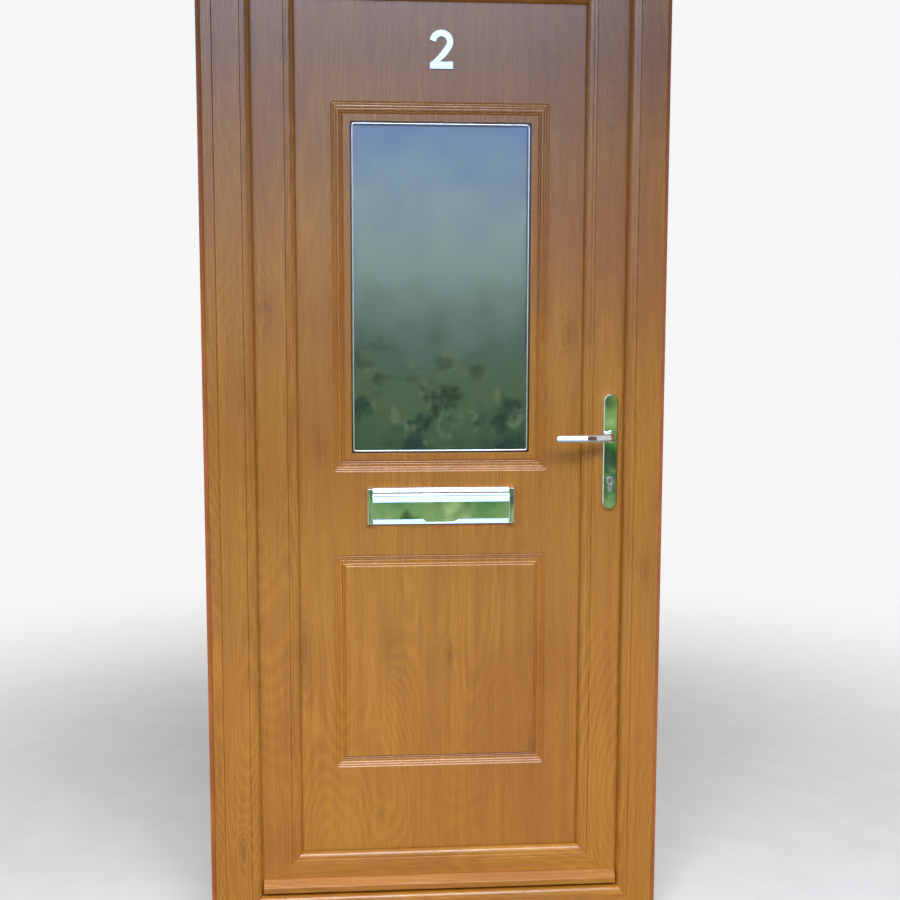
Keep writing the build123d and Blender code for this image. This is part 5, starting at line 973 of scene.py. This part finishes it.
def add_collar():
    """The round collar and the hub behind it, as one turned shape."""
    x, z = SPINDLE
    bpy.ops.mesh.primitive_cylinder_add(vertices=64, radius=HUB_RADIUS, depth=HUB_LENGTH,
                                        location=(x, HUB_MIDDLE, z), rotation=(math.pi / 2, 0, 0))
    pick("FACE", lambda middle, facing: facing.y < -0.99 and abs(middle.y - COLLAR_BACK) < 0.1 * MM)
    bpy.ops.mesh.extrude_region_move(TRANSFORM_OT_translate={"value": (0, 0, 0)})
    grown = COLLAR_RADIUS / HUB_RADIUS
    bpy.ops.transform.resize(value=(grown, 1, grown), center_override=(x, COLLAR_BACK, z))
    for out, size in COLLAR_STEPS:
        bpy.ops.mesh.extrude_region_move(TRANSFORM_OT_translate={"value": (0, -out, 0)})
        bpy.ops.transform.resize(value=(size, 1, size))


print("lever shapes ready, bends of", [round(radius / MM) for radius, angle, steps in BENDS], "mm")

# %% The outer lever and its mirrored copy
handle = lever_neck()
lever_arm()
add_collar()
face_outwards()
finish_piece(handle, "levers", ["lever_outer"], chrome, smooth=32)
inner_handle = bpy.data.objects.new("lever_handle_inner", handle.data.copy())
bpy.context.scene.collection.objects.link(inner_handle)
bpy.context.view_layer.objects.active = inner_handle
inner_handle.select_set(True)
bpy.ops.object.mode_set(mode="EDIT")
bpy.ops.mesh.select_all(action="SELECT")
bpy.ops.transform.resize(value=(1, -1, 1), center_override=(0, LEVERS_MIDDLE, 0))
face_outwards()
finish_piece(inner_handle, "levers", ["lever_inner"], chrome, smooth=32)
for piece in (handle, inner_handle):
    corners = [v.co for v in piece.data.vertices]
    print(piece.name, [(round(min(c[i] for c in corners), 4), round(max(c[i] for c in corners), 4))
                       for i in range(3)])

# %% [markdown]
# ## Number, letterplate and backplates
# These are thin pressed or cast pieces, plated after their edges were polished, so each edge is a
# small round that mirrors everything around it and shows as a bright rim. Their outlines are
# right already, so they are finer copies with a bevel that fits each one's thickness.
#
# The letterplate's top bar and bottom rail slope a little, so that they mirror the sky instead of
# the ground. The slopes are made by moving the upper edge of each bar back before the bevel.

# %% Polished furniture
LEAF_MIDDLE = 20 * MM
BAR_EDGE, RAIL_EDGE = (24 * MM, 935.5 * MM), (22 * MM, 869.5 * MM)
BAR_HALF = 141.0 * MM
BELOW_TOP, ABOUT = 4 * MM, 0.3 * MM
SLOPE_BACK = 2.6 * MM


def slope_bars(outwards):
    """Moves the upper edges of the letterplate's bar and rail back from their fronts."""
    for front, top in (BAR_EDGE, RAIL_EDGE):
        pick("VERT", lambda place, facing: abs(place.y - LEAF_MIDDLE - outwards * front) < ABOUT
             and -BELOW_TOP < place.z - top < ABOUT and abs(place.x) < BAR_HALF)
        bpy.ops.transform.translate(value=(0, -outwards * SLOPE_BACK, 0))


FURNITURE = (("numeral_two", "number", "leaf", 1.8, 5, None),
             ("letterplate_frame_outer", "letterplate_rim_outer", "leaf", 0.6, 3, -1),
             ("letterplate_frame_inner", "letterplate_rim_inner", "leaf", 0.6, 3, 1),
             ("letterplate_flap_outer", "flap_face_outer", "flap_outer", 0.5, 2, None),
             ("letterplate_flap_inner", "flap_face_inner", "flap_inner", 0.5, 2, None),
             ("backplate_outer", "plate_outer", "leaf", 2.0, 4, None),
             ("backplate_inner", "plate_inner", "leaf", 2.0, 4, None))
for node, name, body, bevel, steps, outwards in FURNITURE:
    shape = (lambda: slope_bars(outwards)) if outwards else None
    piece = finer(node, name, body, bevel * MM, steps, shape=shape)
    print(name, len(piece.data.polygons), "faces")

# %% [markdown]
# ## The flap's band
# Along its hinge the flap carries a bowed band, which hides the barrel and mirrors the sky from
# end to end. It is a block with a sloped, bevelled front and rounded ends.

# %% Flap bands
BAND_HALF, BAND_LOW, BAND_HIGH = 142.5 * MM, 907.5 * MM, 923.5 * MM
BAND_FRONT, BAND_REAR, BAND_BACK = -12.2 * MM, -4.0 * MM, 4.6 * MM
BAND_CORNER, BAND_EDGE = 1.6 * MM, 0.8 * MM


def flap_band(name, body, outwards):
    """The bowed band along the flap's hinge, made for the outside and mirrored for the inside."""
    middle_z, middle_y = (BAND_LOW + BAND_HIGH) / 2, (BAND_FRONT + BAND_REAR) / 2
    piece = begin(name, bpy.ops.mesh.primitive_cube_add, size=1, location=(0, middle_y, middle_z),
                  scale=(2 * BAND_HALF, BAND_REAR - BAND_FRONT, BAND_HIGH - BAND_LOW))
    pick("EDGE", lambda middle, along: abs(along.x) > BAND_HALF and middle.y < middle_y
         and middle.z > middle_z)
    bpy.ops.transform.translate(value=(0, BAND_BACK, 0))
    pick("EDGE", lambda middle, along: abs(along.x) < 1 * MM and abs(along.z) > 10 * MM
         and middle.y < middle_y + 2 * MM)
    bpy.ops.mesh.bevel(offset=BAND_CORNER, segments=4, affect="EDGES")
    pick("EDGE", lambda middle, along: abs(along.x) > BAND_HALF and middle.y < middle_y + 2 * MM)
    bpy.ops.mesh.bevel(offset=BAND_EDGE, segments=3, affect="EDGES")
    if outwards > 0:
        bpy.ops.mesh.select_all(action="SELECT")
        bpy.ops.transform.resize(value=(1, -1, 1), center_override=(0, LEAF_MIDDLE, 0))
    face_outwards()
    finish_piece(piece, body, [], chrome, smooth=40)
    print(name, len(piece.data.polygons), "faces")


for side, outwards in (("outer", -1), ("inner", 1)):
    flap_band(f"flap_band_{side}", f"flap_{side}", outwards)

# %% [markdown]
# ## The key cylinder
# The cylinder's case is an oval profile cast in brass and plated in nickel, and the round core with
# the keyhole turns in it. Both outlines are right already, so they are finer copies too, with a
# small bevel, because their front edges are what shows round the keyhole.

# %% Key cylinder
for node, name, body, bevel in (("cylinder_body", "cylinder_case", "leaf", 0.4),
                                ("cylinder_plug", "cylinder_core", "cylinder_plug", 0.3)):
    piece = finer(node, name, body, bevel * MM)
    print(name, len(piece.data.polygons), "faces")
